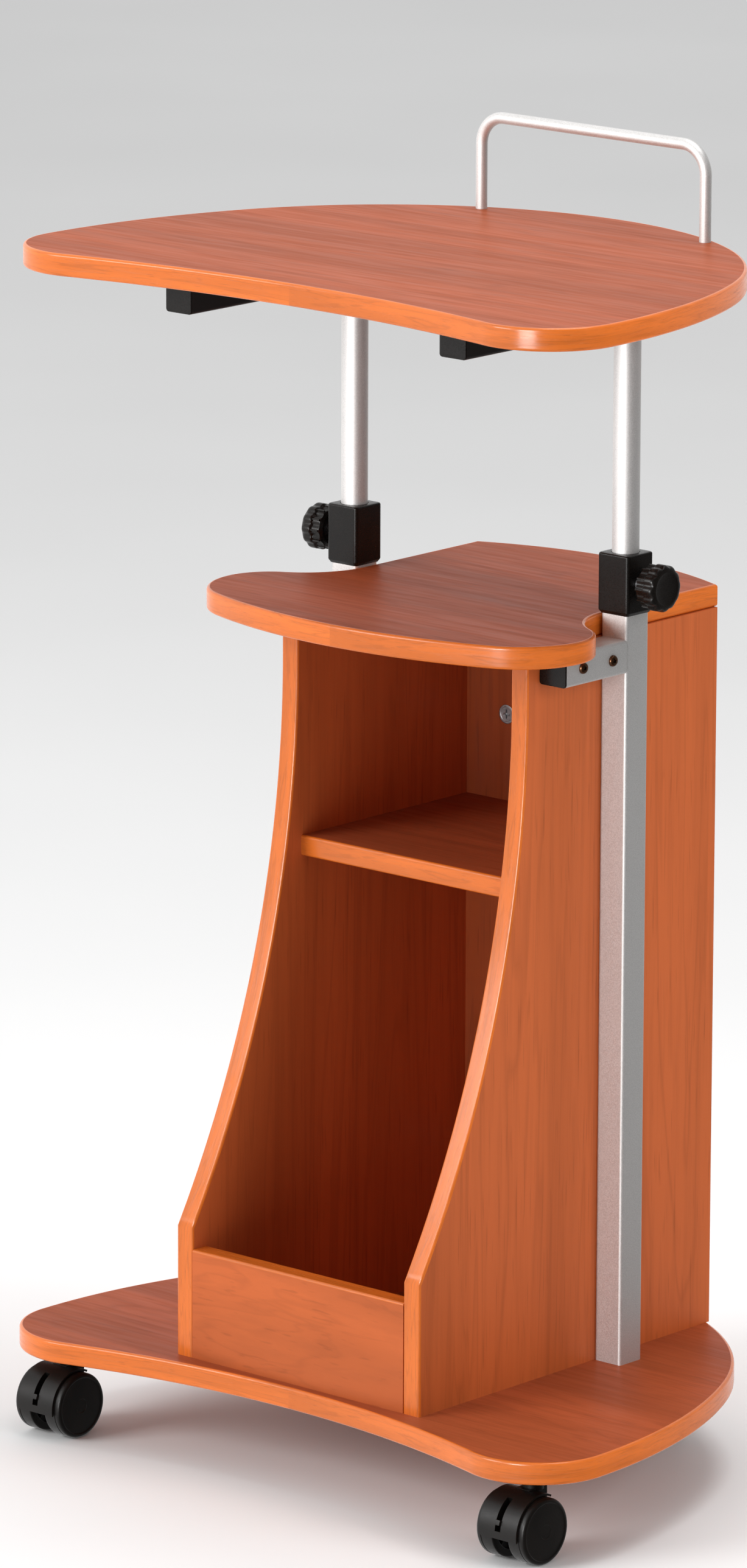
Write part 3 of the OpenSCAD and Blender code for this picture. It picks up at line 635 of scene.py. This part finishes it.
# ------------------------------------------------------------ geometry nodes
def new_tree(name, inputs):
    """An empty tree with a geometry input and output, the named inputs, and its two end nodes."""
    tree = bpy.data.node_groups.new(name, "GeometryNodeTree")
    tree.interface.new_socket("Geometry", in_out="INPUT", socket_type="NodeSocketGeometry")
    for label, kind in inputs:
        tree.interface.new_socket(label, in_out="INPUT", socket_type="NodeSocket" + kind)
    tree.interface.new_socket("Geometry", in_out="OUTPUT", socket_type="NodeSocketGeometry")
    return tree, tree.nodes.new("NodeGroupInput"), tree.nodes.new("NodeGroupOutput")


def link(tree, rows):
    """Links sockets; each row is a node and its output, then a node and its input, by name or number."""
    for source, output, target, socket in rows:
        tree.links.new(source.outputs[output], target.inputs[socket])


def finish_tree(tree, start, end, spread):
    """Ends a tree: instances made real, then given their finish."""
    real = tree.nodes.new("GeometryNodeRealizeInstances")
    coat = tree.nodes.new("GeometryNodeSetMaterial")
    link(tree, (
        (spread, "Instances", real, "Geometry"), (real, "Geometry", coat, "Geometry"),
        (start, "Finish", coat, "Material"), (coat, "Geometry", end, "Geometry"),
    ))


def ring_tree():
    """Repeats a part at even turns round the X axis."""
    name = "Ring round X"
    if name in bpy.data.node_groups:
        return bpy.data.node_groups[name]
    tree, start, end = new_tree(name, (("Count", "Int"), ("Finish", "Material")))
    points = tree.nodes.new("GeometryNodePoints")
    index = tree.nodes.new("GeometryNodeInputIndex")
    share = tree.nodes.new("ShaderNodeMath")
    share.operation = "DIVIDE"
    turn = tree.nodes.new("ShaderNodeMath")
    turn.operation = "MULTIPLY"
    turn.inputs[1].default_value = 2 * math.pi
    angles = tree.nodes.new("ShaderNodeCombineXYZ")
    spread = tree.nodes.new("GeometryNodeInstanceOnPoints")
    link(tree, (
        (start, "Count", points, "Count"), (index, "Index", share, 0), (start, "Count", share, 1),
        (share, 0, turn, 0), (turn, 0, angles, "X"), (points, 0, spread, "Points"),
        (start, "Geometry", spread, "Instance"), (angles, "Vector", spread, "Rotation"),
    ))
    finish_tree(tree, start, end, spread)
    return tree


def places_tree():
    """Sets a part at each vertex of another object, all turned the same way."""
    name = "Set at places"
    if name in bpy.data.node_groups:
        return bpy.data.node_groups[name]
    tree, start, end = new_tree(name, (("Places", "Object"), ("Turn", "Vector"), ("Finish", "Material")))
    source = tree.nodes.new("GeometryNodeObjectInfo")
    points = tree.nodes.new("GeometryNodeMeshToPoints")
    spread = tree.nodes.new("GeometryNodeInstanceOnPoints")
    link(tree, (
        (start, "Places", source, "Object"), (source, "Geometry", points, "Mesh"),
        (points, "Points", spread, "Points"), (start, "Geometry", spread, "Instance"),
        (start, "Turn", spread, "Rotation"),
    ))
    finish_tree(tree, start, end, spread)
    return tree


def grow(part, tree, values):
    """Runs a tree on a part's mesh and returns the result as a bmesh."""
    seed = object_of("seed", part)
    nodes = seed.modifiers.new("grow", "NODES")
    nodes.node_group = tree
    for item in tree.interface.items_tree:
        if item.in_out == "INPUT" and item.name in values:
            nodes[item.identifier] = values[item.name]
    applied(seed)
    shape = bmesh.new()
    shape.from_mesh(seed.data)
    bpy.data.objects.remove(seed)
    return shape


def ring_of(part, count, finish):
    return grow(part, ring_tree(), {"Count": count, "Finish": material(finish)})


def set_at(part, places, turn, finish):
    """The part repeated at these places."""
    marks = bpy.data.meshes.new("places")
    marks.from_pydata([tuple(p) for p in places], [], [])
    holder = bpy.data.objects.new("places", marks)
    bpy.context.scene.collection.objects.link(holder)
    shape = grow(part, places_tree(), {"Places": holder, "Turn": turn, "Finish": material(finish)})
    bpy.data.objects.remove(holder)
    return shape


# ------------------------------------------------------------ pieces
def flat_place(level):
    return lambda point, across: Vector((point.x, point.y, level + across))


def band(name, edging, board, outline, body):
    """Rounded edge strip round a board."""
    settings = bpy.context.scene.podium_boards
    low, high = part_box(edging)
    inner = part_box(board)[0]
    thick = inner.x - low.x + LAP
    width = high.z - low.z + 2 * settings.proud
    section = strip_section(thick, width, min(settings.arris, thick - SPARE))
    shape = sweep(outline, section, flat_place(low.z - settings.proud))
    return piece(name, shape, "board_edge", body, (edging,))


class PODIUM_OT_boards(bpy.types.Operator):
    """Finish the worktop, the middle board and the base, with their rounded edge strips"""

    bl_idname = "podium.boards"
    bl_label = "Boards"

    def execute(self, context):
        settings, middle = context.scene.podium_boards, context.scene.podium_middle
        for edging, board, hollow, body in (
            ("worktop_edging", "worktop", settings.top_hollow, "lift"),
            ("base_edging", "base_board", settings.base_hollow, "frame"),
        ):
            low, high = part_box(edging)
            outline = deck_outline(low, high, hollow, settings.lobe_radius, settings.side_radius)
            band(board + "_strip", edging, board, outline, body)
            give(board, "board_top")
        low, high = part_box("middle_edging")
        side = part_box("right_leg")[0].x - middle.leg_gap
        band("middle_strip", "middle_edging", "middle_board", middle_outline(low, high, side, middle), "frame")
        give("middle_board", "board_top")
        return {"FINISHED"}


def front_edge(low, high, shape):
    """A side panel's front edge as (depth, height), from the top down."""
    rise = shape.curve_top - shape.foot
    radius = (shape.setback**2 + rise**2) / (2 * shape.setback)
    centre = (low.y + shape.setback - radius, low.z + shape.curve_top)
    foot_turn = -math.degrees(math.asin(rise / radius))
    return without_repeats(
        [Vector((low.y + shape.setback, high.z))]
        + arc(centre, radius, 0, foot_turn, 0.6)
        + [Vector((low.y, low.z))],
        closed=False,
    )


class PODIUM_OT_cabinet(bpy.types.Operator):
    """Finish the cabinet: curved side panels with their edge strips, back panel, shelf and front board"""

    bl_idname = "podium.cabinet"
    bl_label = "Cabinet"

    def execute(self, context):
        settings, boards = context.scene.podium_cabinet, context.scene.podium_boards
        low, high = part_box("cabinet_edgings")
        strips = []
        for side, _ in SIDES:
            panel_low, panel_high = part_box(f"{side}_side_panel")
            thick = panel_low.y - low.y
            edge = front_edge(low, high, settings)
            back = panel_high.y
            board_edge = [p + s * thick for p, s in zip(edge, inward(edge, False))]
            board_edge[0].y, board_edge[-1].y = panel_high.z, panel_low.z
            outline = board_edge + [Vector((back, panel_low.z)), Vector((back, panel_high.z))]
            shape = skin([(outline, panel_low.x), (outline, panel_high.x)], lambda p, x: Vector((x, p.x, p.y)))
            rear = [e for e in shape.edges if all(v.co.y > back - SAME for v in e.verts)
                    and abs(e.verts[0].co.x - e.verts[1].co.x) < SAME]
            bmesh.ops.bevel(shape, geom=rear, offset=settings.arris, segments=3, affect="EDGES", profile=0.5)
            piece(f"{side}_side_board", shape, "board_panel", "frame", (f"{side}_side_panel",))
            section = strip_section(thick, panel_high.x - panel_low.x, min(boards.arris, thick - SPARE))
            upright = lambda p, x, start=panel_low.x: Vector((start + x, p.x, p.y))
            strips.append(sweep(edge, section, upright, False))
        strips += self.cross_strips(boards)
        piece("cabinet_strips", merged(*strips), "board_edge", "frame", ("cabinet_edgings",))
        for node, finish in (("back_panel", "board_panel"), ("shelf", "board_top"), ("front_board", "front_panel")):
            give(node, finish)
        return {"FINISHED"}

    def cross_strips(self, boards):
        """The strips on the shelf's front edge and on the front board's top edge."""
        shelf_low, shelf_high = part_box("shelf")
        front_low, front_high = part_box("front_board")
        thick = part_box("left_side_panel")[0].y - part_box("cabinet_edgings")[0].y
        line = [Vector((shelf_low.x, 0)), Vector((shelf_high.x, 0))]
        arris = min(boards.arris, thick - SPARE)
        shelf = sweep(line, strip_section(thick, shelf_high.z - shelf_low.z, arris),
                      lambda p, z: Vector((p.x, shelf_low.y - thick + p.y, shelf_low.z + z)), False)
        front = sweep(line, strip_section(thick, front_high.y - front_low.y, arris),
                      lambda p, y: Vector((p.x, front_low.y + y, front_high.z + thick - p.y)), False)
        return [shelf, front]


def cap_levels(half, wall, plate, plug):
    """Levels of a push-in tube cap, from the plug's end to the face."""
    outer, inner = rounded_square(half, 2.5 * MM), rounded_square(half - wall, 1.2 * MM)
    return [
        (rounded_square(half - wall - 0.5 * MM, 1 * MM), plug),
        (inner, plug - 0.6 * MM),
        (inner, 0.0),
        (outer, 0.0),
        (outer, -plate + 0.7 * MM),
        (rounded_square(half - 0.25 * MM, 2.3 * MM), -plate + 0.2 * MM),
        (rounded_square(half - 0.9 * MM, 1.9 * MM), -plate),
        (rounded_square(half - 3.5 * MM, 1.2 * MM), -plate),
    ]


def tube_caps(name, node, finish, body, ends):
    """Caps in tube ends. ends lists (tube node, end of it along Y)."""
    caps = []
    for tube, sign in ends:
        low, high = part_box(tube)
        middle = (low + high) / 2
        mouth = low.y if sign < 0 else high.y
        caps.append(skin(
            cap_levels((high.x - low.x) / 2, 1.6 * MM, 1.6 * MM, 8 * MM),
            lambda p, h, c=middle, m=mouth, s=sign: Vector((c.x + p.x, m - s * h, c.z + p.y)),
        ))
    return piece(name, merged(*caps), finish, body, (node,))


class PODIUM_OT_tubes(bpy.types.Operator):
    """Finish the legs, brackets, posts, rails and guard rail, with the caps in their ends"""

    bl_idname = "podium.tubes"
    bl_label = "Tubes"

    def execute(self, context):
        for side, _ in SIDES:
            for part in ("leg", "bracket", "post"):
                give(f"{side}_{part}", "silver_paint")
            give(f"{side}_rail", "black_paint")
        give("guard_rail", "silver_paint")
        give("leg_foot_plugs", "black_plastic")
        give("post_plugs", "nylon")
        tube_caps("bracket_caps", "bracket_end_caps", "black_plastic", "frame",
                  [(f"{side}_bracket", -1) for side, _ in SIDES])
        tube_caps("rail_caps", "rail_end_caps", "black_plastic", "lift",
                  [(f"{side}_rail", sign) for side, _ in SIDES for sign in (-1, 1)])
        return {"FINISHED"}


class PODIUM_OT_collars(bpy.types.Operator):
    """Make the square clamping collars and finish their inserts"""

    bl_idname = "podium.collars"
    bl_label = "Collars"

    def execute(self, context):
        for side, sign in SIDES:
            low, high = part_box(f"{side}_collar")
            leg_low, leg_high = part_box(f"{side}_leg")
            post_low, post_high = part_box(f"{side}_post")
            half = (high.x - low.x) / 2
            tall = high.z - low.z
            socket = leg_high.z - low.z
            bore = (post_high.x - post_low.x) / 2 + 0.06 * MM
            well = rounded_square((leg_high.x - leg_low.x) / 2 + 0.05 * MM, 2.5 * MM)
            body = rounded_square(half, 3 * MM)
            levels = [
                (well, 0.0),
                (rounded_square(half - 1.7 * MM, 2 * MM), 0.0),
                (rounded_square(half - 0.25 * MM, 2.9 * MM), 2.1 * MM),
                (body, 2.8 * MM),
                (body, tall - 1.5 * MM),
                (rounded_square(half - 0.15 * MM, 2.9 * MM), tall - 0.9 * MM),
                (rounded_square(half - 0.5 * MM, 2.7 * MM), tall - 0.35 * MM),
                (rounded_square(half - 1.2 * MM, 2.4 * MM), tall),
                (circle_like(body, bore + 0.7 * MM), tall),
                (circle_like(body, bore), tall - 0.7 * MM),
                (circle_like(body, bore), socket),
                (well, socket),
            ]
            middle = (low + high) / 2
            shape = skin(levels, lambda p, h, c=middle, z=low.z: Vector((c.x + p.x, c.y + p.y, z + h)), wrap=True)
            cutters = self.holes(side, sign, middle, half)
            piece(f"{side}_clamp_collar", shape, "black_plastic", "frame", (f"{side}_collar",), cutters=cutters)
        give("collar_inserts", "zinc")
        return {"FINISHED"}

    def holes(self, side, sign, middle, half):
        """Cutters for the insert's seat and the stud's hole in the outer face."""
        insert_low, insert_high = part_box("collar_inserts")
        stud_low, stud_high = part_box(f"{side}_knob_stud")
        seat_r = (insert_high.z - insert_low.z) / 2 + 0.1 * MM
        hole_r = (stud_high.z - stud_low.z) / 2 + 0.06 * MM
        reach = half + 2 * MM
        seat = lathe([(0, half - 4.25 * MM), (seat_r, half - 4.25 * MM), (seat_r, reach), (0, reach)], 48)
        hole = lathe([(0, 4 * MM), (hole_r, 4 * MM), (hole_r, half), (0, half)], 48)
        return [moved(c, facing(middle, sign)) for c in (seat, hole)]


def knob_shape(reach, settings):
    """A fluted knob along +X from 0: a finned neck behind a lobed head with a dished face."""
    profile = [
        (0, 0), (11.4, 0), (12.8, 0.5), (13.4, 1.2), (15.2, 1.9), (15.7, 2.6), (16.0, 8.6), (16.6, 9.2),
        (17.5, 9.6), (17.9, 10.2), (18.0, 11.0), (18.0, 15.2), (17.8, 16.6), (17.2, 17.8), (16.2, 18.7),
        (14.8, 19.3), (13.2, 19.5), (12.2, 19.45), (11.6, 19.1), (7.0, 18.9), (0, 18.8),
    ]
    scale = reach / (19.5 * MM)

    def depth(place):
        share = min(1.0, max(0.0, (place / MM - 1.5) / 1.5)) * min(1.0, max(0.0, (19.2 - place / MM) / 1.6))
        return settings.flute_depth * share

    turned = [(r * MM, x * MM * scale) for r, x in profile]
    body = lathe(turned, settings.flutes * 12, waves=settings.flutes, depth=depth)
    fin = block(Vector((2.2 * MM, -0.7 * MM, 13.0 * MM)), Vector((9.4 * MM, 0.7 * MM, 15.9 * MM + settings.fin)))
    bmesh.ops.bevel(fin, geom=list(fin.edges), offset=0.3 * MM, segments=2, affect="EDGES", profile=0.5)
    return merged(body, ring_of(fin, settings.flutes, "black_plastic"))


class PODIUM_OT_knobs(bpy.types.Operator):
    """Make the fluted clamping knobs and finish their studs"""

    bl_idname = "podium.knobs"
    bl_label = "Knobs"

    def execute(self, context):
        for side, sign in SIDES:
            low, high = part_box(f"{side}_knob")
            shape = knob_shape(high.x - low.x, context.scene.podium_knobs)
            middle = (low + high) / 2
            start = low.x if sign > 0 else high.x
            moved(shape, facing((start, middle.y, middle.z), sign))
            piece(f"{side}_clamp_knob", shape, "black_plastic", f"{side}_knob", (f"{side}_knob",), sharp=40)
            give(f"{side}_knob_stud", "steel")
        return {"FINISHED"}


def pan_head(radius, height, shank_r, shank):
    """A pan-head screw along +X, its head standing over 0; the cross recess is not made here."""
    rounding = [(radius, 0.0), (radius, height * 0.22)]
    rounding += [(p.x, p.y) for p in arc((radius - height * 0.78, height * 0.22), height * 0.78, 8, 62, 9)]
    profile = [(0, -shank), (shank_r * 0.5, -shank), (shank_r, -shank + shank_r), (shank_r, 0.0)]
    return lathe(profile + rounding + [(radius * 0.34, height), (0, height)], 40)


def cross_recess(half, width, top, depth):
    """Cutter for a screw's cross recess, narrower at its bottom."""
    arms = []
    for turn in (0, math.pi / 2):
        arm = block(Vector((top - depth, -half, -width)), Vector((top + 1 * MM, half, width)))
        for v in arm.verts:
            if v.co.x < top:
                v.co.y *= 0.55
                v.co.z *= 0.6
        arms.append(moved(arm, Matrix.Rotation(turn, 4, "X")))
    return arms


def with_recess(part, cutters):
    """The part with these cutters taken out of it, as a bmesh."""
    bmesh.ops.recalc_face_normals(part, faces=part.faces)
    made = object_of("part", part)
    cut_out(made, cutters)
    shape = bmesh.new()
    shape.from_mesh(made.data)
    bpy.data.objects.remove(made)
    return shape


def corners_of_each(node):
    """The lowest and highest corner of each separate solid of a packed node."""
    shape = copy_of(node)
    todo, found = set(shape.verts), []
    while todo:
        stack, island = [todo.pop()], []
        while stack:
            v = stack.pop()
            island.append(v.co.copy())
            for e in v.link_edges:
                other = e.other_vert(v)
                if other in todo:
                    todo.remove(other)
                    stack.append(other)
        low = Vector([min(p[k] for p in island) for k in range(3)])
        high = Vector([max(p[k] for p in island) for k in range(3)])
        found.append((low, high))
    shape.free()
    return found


class PODIUM_OT_fasteners(bpy.types.Operator):
    """Make the screws and cam locks that show, and finish the hidden fasteners"""

    bl_idname = "podium.fasteners"
    bl_label = "Fasteners"

    def execute(self, context):
        self.bracket_screws()
        self.rail_screws()
        self.cam_locks()
        for node in ("cam_dowels", "panel_screws", "leg_bolts", "guard_rail_screws"):
            give(node, "steel")
        give("board_dowels", "beech")
        return {"FINISHED"}

    def bracket_screws(self):
        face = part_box("right_bracket")[1].x
        solids = corners_of_each("bracket_screws")
        height = max(high.x for _, high in solids) - face
        shapes = []
        for _, sign in SIDES:
            mine = [(low, high) for low, high in solids if sign * (low.x + high.x) > 0]
            radius = (mine[0][1].z - mine[0][0].z) / 2
            length = mine[0][1].x - mine[0][0].x - height
            screw = with_recess(pan_head(radius, height, 2.25 * MM, length),
                                cross_recess(2.3 * MM, 0.62 * MM, height, 1.9 * MM))
            places = [Vector((sign * face, (low.y + high.y) / 2, (low.z + high.z) / 2)) for low, high in mine]
            turn = (math.radians(24), 0, 0) if sign > 0 else (math.radians(24), 0, math.pi)
            shapes.append(set_at(screw, places, turn, "bronze_screw"))
        piece("bracket_pan_screws", merged(*shapes), "bronze_screw", "frame", ("bracket_screws",))

    def rail_screws(self):
        solids = corners_of_each("rail_screws")
        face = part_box("left_rail")[0].z
        low, high = solids[0]
        height = face - low.z
        screw = with_recess(pan_head((high.x - low.x) / 2, height, 2.1 * MM, high.z - face),
                            cross_recess(2.2 * MM, 0.6 * MM, height, 1.8 * MM))
        places = [Vector(((a.x + b.x) / 2, (a.y + b.y) / 2, face)) for a, b in solids]
        screws = set_at(screw, places, (0, math.pi / 2, 0), "steel")
        piece("rail_pan_screws", screws, "steel", "lift", ("rail_screws",))

    def cam_locks(self):
        shapes = []
        for low, high in corners_of_each("cam_locks"):
            size = high - low
            axis = min(range(3), key=lambda k: size[k])
            inside = (low + high) / 2
            radius, thick = max(size) / 2, size[axis]
            lock = lathe([
                (0, -thick), (radius - 0.4 * MM, -thick), (radius, -thick + 0.4 * MM), (radius, -0.5 * MM),
                (radius - 0.15 * MM, -0.15 * MM), (radius - 0.5 * MM, 0.0), (radius - 1.6 * MM, 0.0),
                (radius - 1.9 * MM, -0.25 * MM), (0, -0.25 * MM),
            ], 48)
            lock = with_recess(lock, cross_recess(4.2 * MM, 0.9 * MM, 0.0, 2.4 * MM))
            faces_out = {0: inside, 1: Vector((0, 1 if inside.y < -0.1 else -1, 0)), 2: Vector((0, 0, -1))}[axis]
            way = faces_out.to_track_quat("X", "Z").to_euler()
            mouth = inside + faces_out * (thick / 2)
            shapes.append(set_at(lock, [mouth], tuple(way), "zinc"))
        piece("cam_lock_heads", merged(*shapes), "zinc", "frame", ("cam_locks",))


def wheel_shape(width, radius):
    """A caster wheel along +X from its inner face: ribbed inner side, tread with a groove, domed outer disc."""
    w, r = width / MM, radius / MM
    profile = [
        (0, w - 2), (2.56, w - 2), (2.56, 0), (6.2, 0), (6.8, 0.4), (7.2, 3.2), (18.6, 3.2), (19.2, 0.5),
        (19.9, 0.1), (r - 1.6, 0), (r - 0.9, 0.15), (r - 0.25, 0.7), (r, 1.6), (r, w - 5.2), (r - 0.35, w - 5.0),
        (r - 0.35, w - 4.5), (r, w - 4.3), (r, w - 2.6), (r - 0.25, w - 1.5), (r - 0.8, w - 0.7),
        (r - 1.7, w - 0.15), (r - 2.6, w), (r - 3.2, w), (r - 3.6, w - 0.35), (r - 4.1, w - 0.5), (r - 7, w - 0.3),
        (r - 12, w - 0.08), (6.2, w), (5.6, w), (5.3, w - 0.3), (0, w - 0.25),
    ]
    body = lathe([(a * MM, b * MM) for a, b in profile], 96)
    rib = block(Vector((0.5 * MM, -0.7 * MM, 6.6 * MM)), Vector((3.4 * MM, 0.7 * MM, 19.2 * MM)))
    return merged(body, ring_of(rib, 8, "caster_tyre"))


class PODIUM_OT_casters(bpy.types.Operator):
    """Make the casters' wheels and hoods, and finish their stems, sockets and axles"""

    bl_idname = "podium.casters"
    bl_label = "Casters"

    def execute(self, context):
        for end in ENDS:
            for side, sign in SIDES:
                self.caster(end, side, sign)
        give("caster_sockets", "zinc")
        give("caster_stems", "steel")
        return {"FINISHED"}

    def caster(self, end, side, sign):
        where = f"{end}_{side}"
        piece(f"{where}_hood", copy_of(f"{where}_housing"), "caster_plastic", f"{where}_caster",
              (f"{where}_housing",), bevel=0.45 * MM)
        give(f"{where}_axle", "steel")
        if end == "front":
            piece(f"{where}_brake_tab", copy_of(f"{where}_brake"), "caster_plastic", f"{where}_brake_lever",
                  (f"{where}_brake",), bevel=0.35 * MM)
        middle = sum(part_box(f"{where}_axle"), Vector((0, 0, 0))) / 2
        for place, way in (("outer", sign), ("inner", -sign)):
            node = f"{where}_{place}_wheel"
            low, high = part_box(node)
            shape = wheel_shape(high.x - low.x, (high.z - low.z) / 2)
            start = low.x if way > 0 else high.x
            moved(shape, facing((start, middle.y, middle.z), way))
            piece(f"{where}_{place}_tyre", shape, "caster_tyre", node, (node,))


# ------------------------------------------------------------ stage
def area_light(name, place, target, size, power, colour=(1, 1, 1)):
    lamp = bpy.data.lights.new(name, "AREA")
    lamp.shape = "RECTANGLE"
    lamp.size, lamp.size_y = size
    lamp.energy = power
    lamp.color = colour
    made = bpy.data.objects.new(name, lamp)
    made.location = place
    made.rotation_mode = "QUATERNION"
    made.rotation_quaternion = (Vector(target) - Vector(place)).to_track_quat("-Z", "Y")
    bpy.context.scene.collection.objects.link(made)
    return made


class PODIUM_OT_stage(bpy.types.Operator):
    """Set up the camera, the soft light and the pale floor"""

    bl_idname = "podium.stage"
    bl_label = "Stage"

    def execute(self, context):
        settings = context.scene.podium_stage
        self.camera(settings)
        area_light("key", (-1.9, -3.9, 2.0), (0, 0, 0.5), (2.0, 2.0), settings.key_power)
        fill = area_light("fill", (3.5, 0.3, 1.7), (0, 0, 0.5), (1.6, 2.0), settings.fill_power)
        fill.visible_glossy = False
        card = area_light("card", (0.9, -4.2, 1.0), (0, 0, 0.6), (1.6, 1.8), settings.card_power)
        card.visible_diffuse = False
        area_light("top", (0.3, 0.4, 3.4), (0, 0, 0.4), (1.4, 1.4), settings.top_power)
        self.world()
        if settings.show_floor:
            self.floor()
        context.scene.view_settings.view_transform = "Standard"
        context.scene.view_settings.look = "None"
        return {"FINISHED"}

    def camera(self, settings):
        lens = bpy.data.cameras.new("camera")
        lens.lens = settings.lens
        lens.sensor_fit = "AUTO"
        lens.sensor_width = 36.0
        lens.clip_start, lens.clip_end = 0.1, 100.0
        made = bpy.data.objects.new("camera", lens)
        place, target = Vector(settings.camera), Vector(settings.target)
        aim = (target - place).to_track_quat("-Z", "Y").to_matrix().to_4x4()
        made.matrix_world = Matrix.Translation(place) @ aim @ Matrix.Rotation(settings.roll, 4, "Z")
        bpy.context.scene.collection.objects.link(made)
        bpy.context.scene.camera = made

    def world(self):
        """Even studio light, dimmer towards the right."""
        world = bpy.data.worlds.new("studio")
        world.use_nodes = True
        bpy.context.scene.world = world
        nodes, links = world.node_tree.nodes, world.node_tree.links
        where = nodes.new("ShaderNodeTexCoord")
        side = nodes.new("ShaderNodeVectorMath")
        side.operation = "DOT_PRODUCT"
        side.inputs[1].default_value = Vector((1.0, 0.1, -0.1)).normalized()
        shade = nodes.new("ShaderNodeMapRange")
        shade.inputs["From Min"].default_value = -1.0
        shade.inputs["From Max"].default_value = 0.8
        shade.inputs["To Min"].default_value = 1.25
        shade.inputs["To Max"].default_value = 0.08
        ground = nodes["Background"]
        links.new(where.outputs["Generated"], side.inputs[0])
        links.new(side.outputs["Value"], shade.inputs["Value"])
        links.new(shade.outputs["Result"], ground.inputs["Strength"])
        ground.inputs["Color"].default_value = (1.0, 1.0, 1.0, 1.0)

    def floor(self):
        shape = bmesh.new()
        bmesh.ops.create_circle(shape, cap_ends=True, segments=96, radius=14.0)
        made = object_of("floor", shape)
        finish = Finish("floor_finish", 0.75, specular=0.2)
        where = finish.place((1, 1, 1))
        cloud = finish.noise(where, 1.2, 2.0, 0.5).outputs["Fac"]
        tone = finish.mix(finish.spread(cloud, 0.3, 0.7), (0.86, 0.86, 0.86, 1), (0.90, 0.90, 0.90, 1))
        finish.feed(finish.shader.inputs["Base Color"], tone)
        made.data.materials.append(finish.material)
        made.visible_glossy = False


OPERATORS = (
    PODIUM_OT_stage,
    PODIUM_OT_boards,
    PODIUM_OT_cabinet,
    PODIUM_OT_tubes,
    PODIUM_OT_collars,
    PODIUM_OT_knobs,
    PODIUM_OT_fasteners,
    PODIUM_OT_casters,
)
GROUPS = {
    "podium_boards": BoardSettings,
    "podium_middle": MiddleSettings,
    "podium_cabinet": CabinetSettings,
    "podium_metals": MetalSettings,
    "podium_knobs": KnobSettings,
    "podium_stage": StageSettings,
}


class PODIUM_PT_panel(bpy.types.Panel):
    """Settings and steps of the podium."""

    bl_idname = "PODIUM_PT_panel"
    bl_label = "Lectern podium"
    bl_space_type = "VIEW_3D"
    bl_region_type = "UI"
    bl_category = "Podium"

    def draw(self, context):
        layout = self.layout
        for name, group in GROUPS.items():
            box = layout.box()
            box.label(text=group.__doc__.strip("."))
            settings = getattr(context.scene, name)
            for prop in group.__annotations__:
                box.prop(settings, prop)
        for operator in OPERATORS:
            layout.operator(operator.bl_idname)


def register():
    for group in GROUPS.values():
        bpy.utils.register_class(group)
    for operator in OPERATORS:
        bpy.utils.register_class(operator)
    bpy.utils.register_class(PODIUM_PT_panel)
    for name, group in GROUPS.items():
        setattr(bpy.types.Scene, name, PointerProperty(type=group))


def unregister():
    for name in GROUPS:
        delattr(bpy.types.Scene, name)
    bpy.utils.unregister_class(PODIUM_PT_panel)
    for operator in reversed(OPERATORS):
        bpy.utils.unregister_class(operator)
    for group in reversed(list(GROUPS.values())):
        bpy.utils.unregister_class(group)


def main():
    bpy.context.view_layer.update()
    register()
    bpy.ops.podium.stage()
    bpy.ops.podium.boards()
    bpy.ops.podium.cabinet()
    bpy.ops.podium.tubes()
    bpy.ops.podium.collars()
    bpy.ops.podium.knobs()
    bpy.ops.podium.fasteners()
    bpy.ops.podium.casters()


if __name__ == "__main__":
    main()
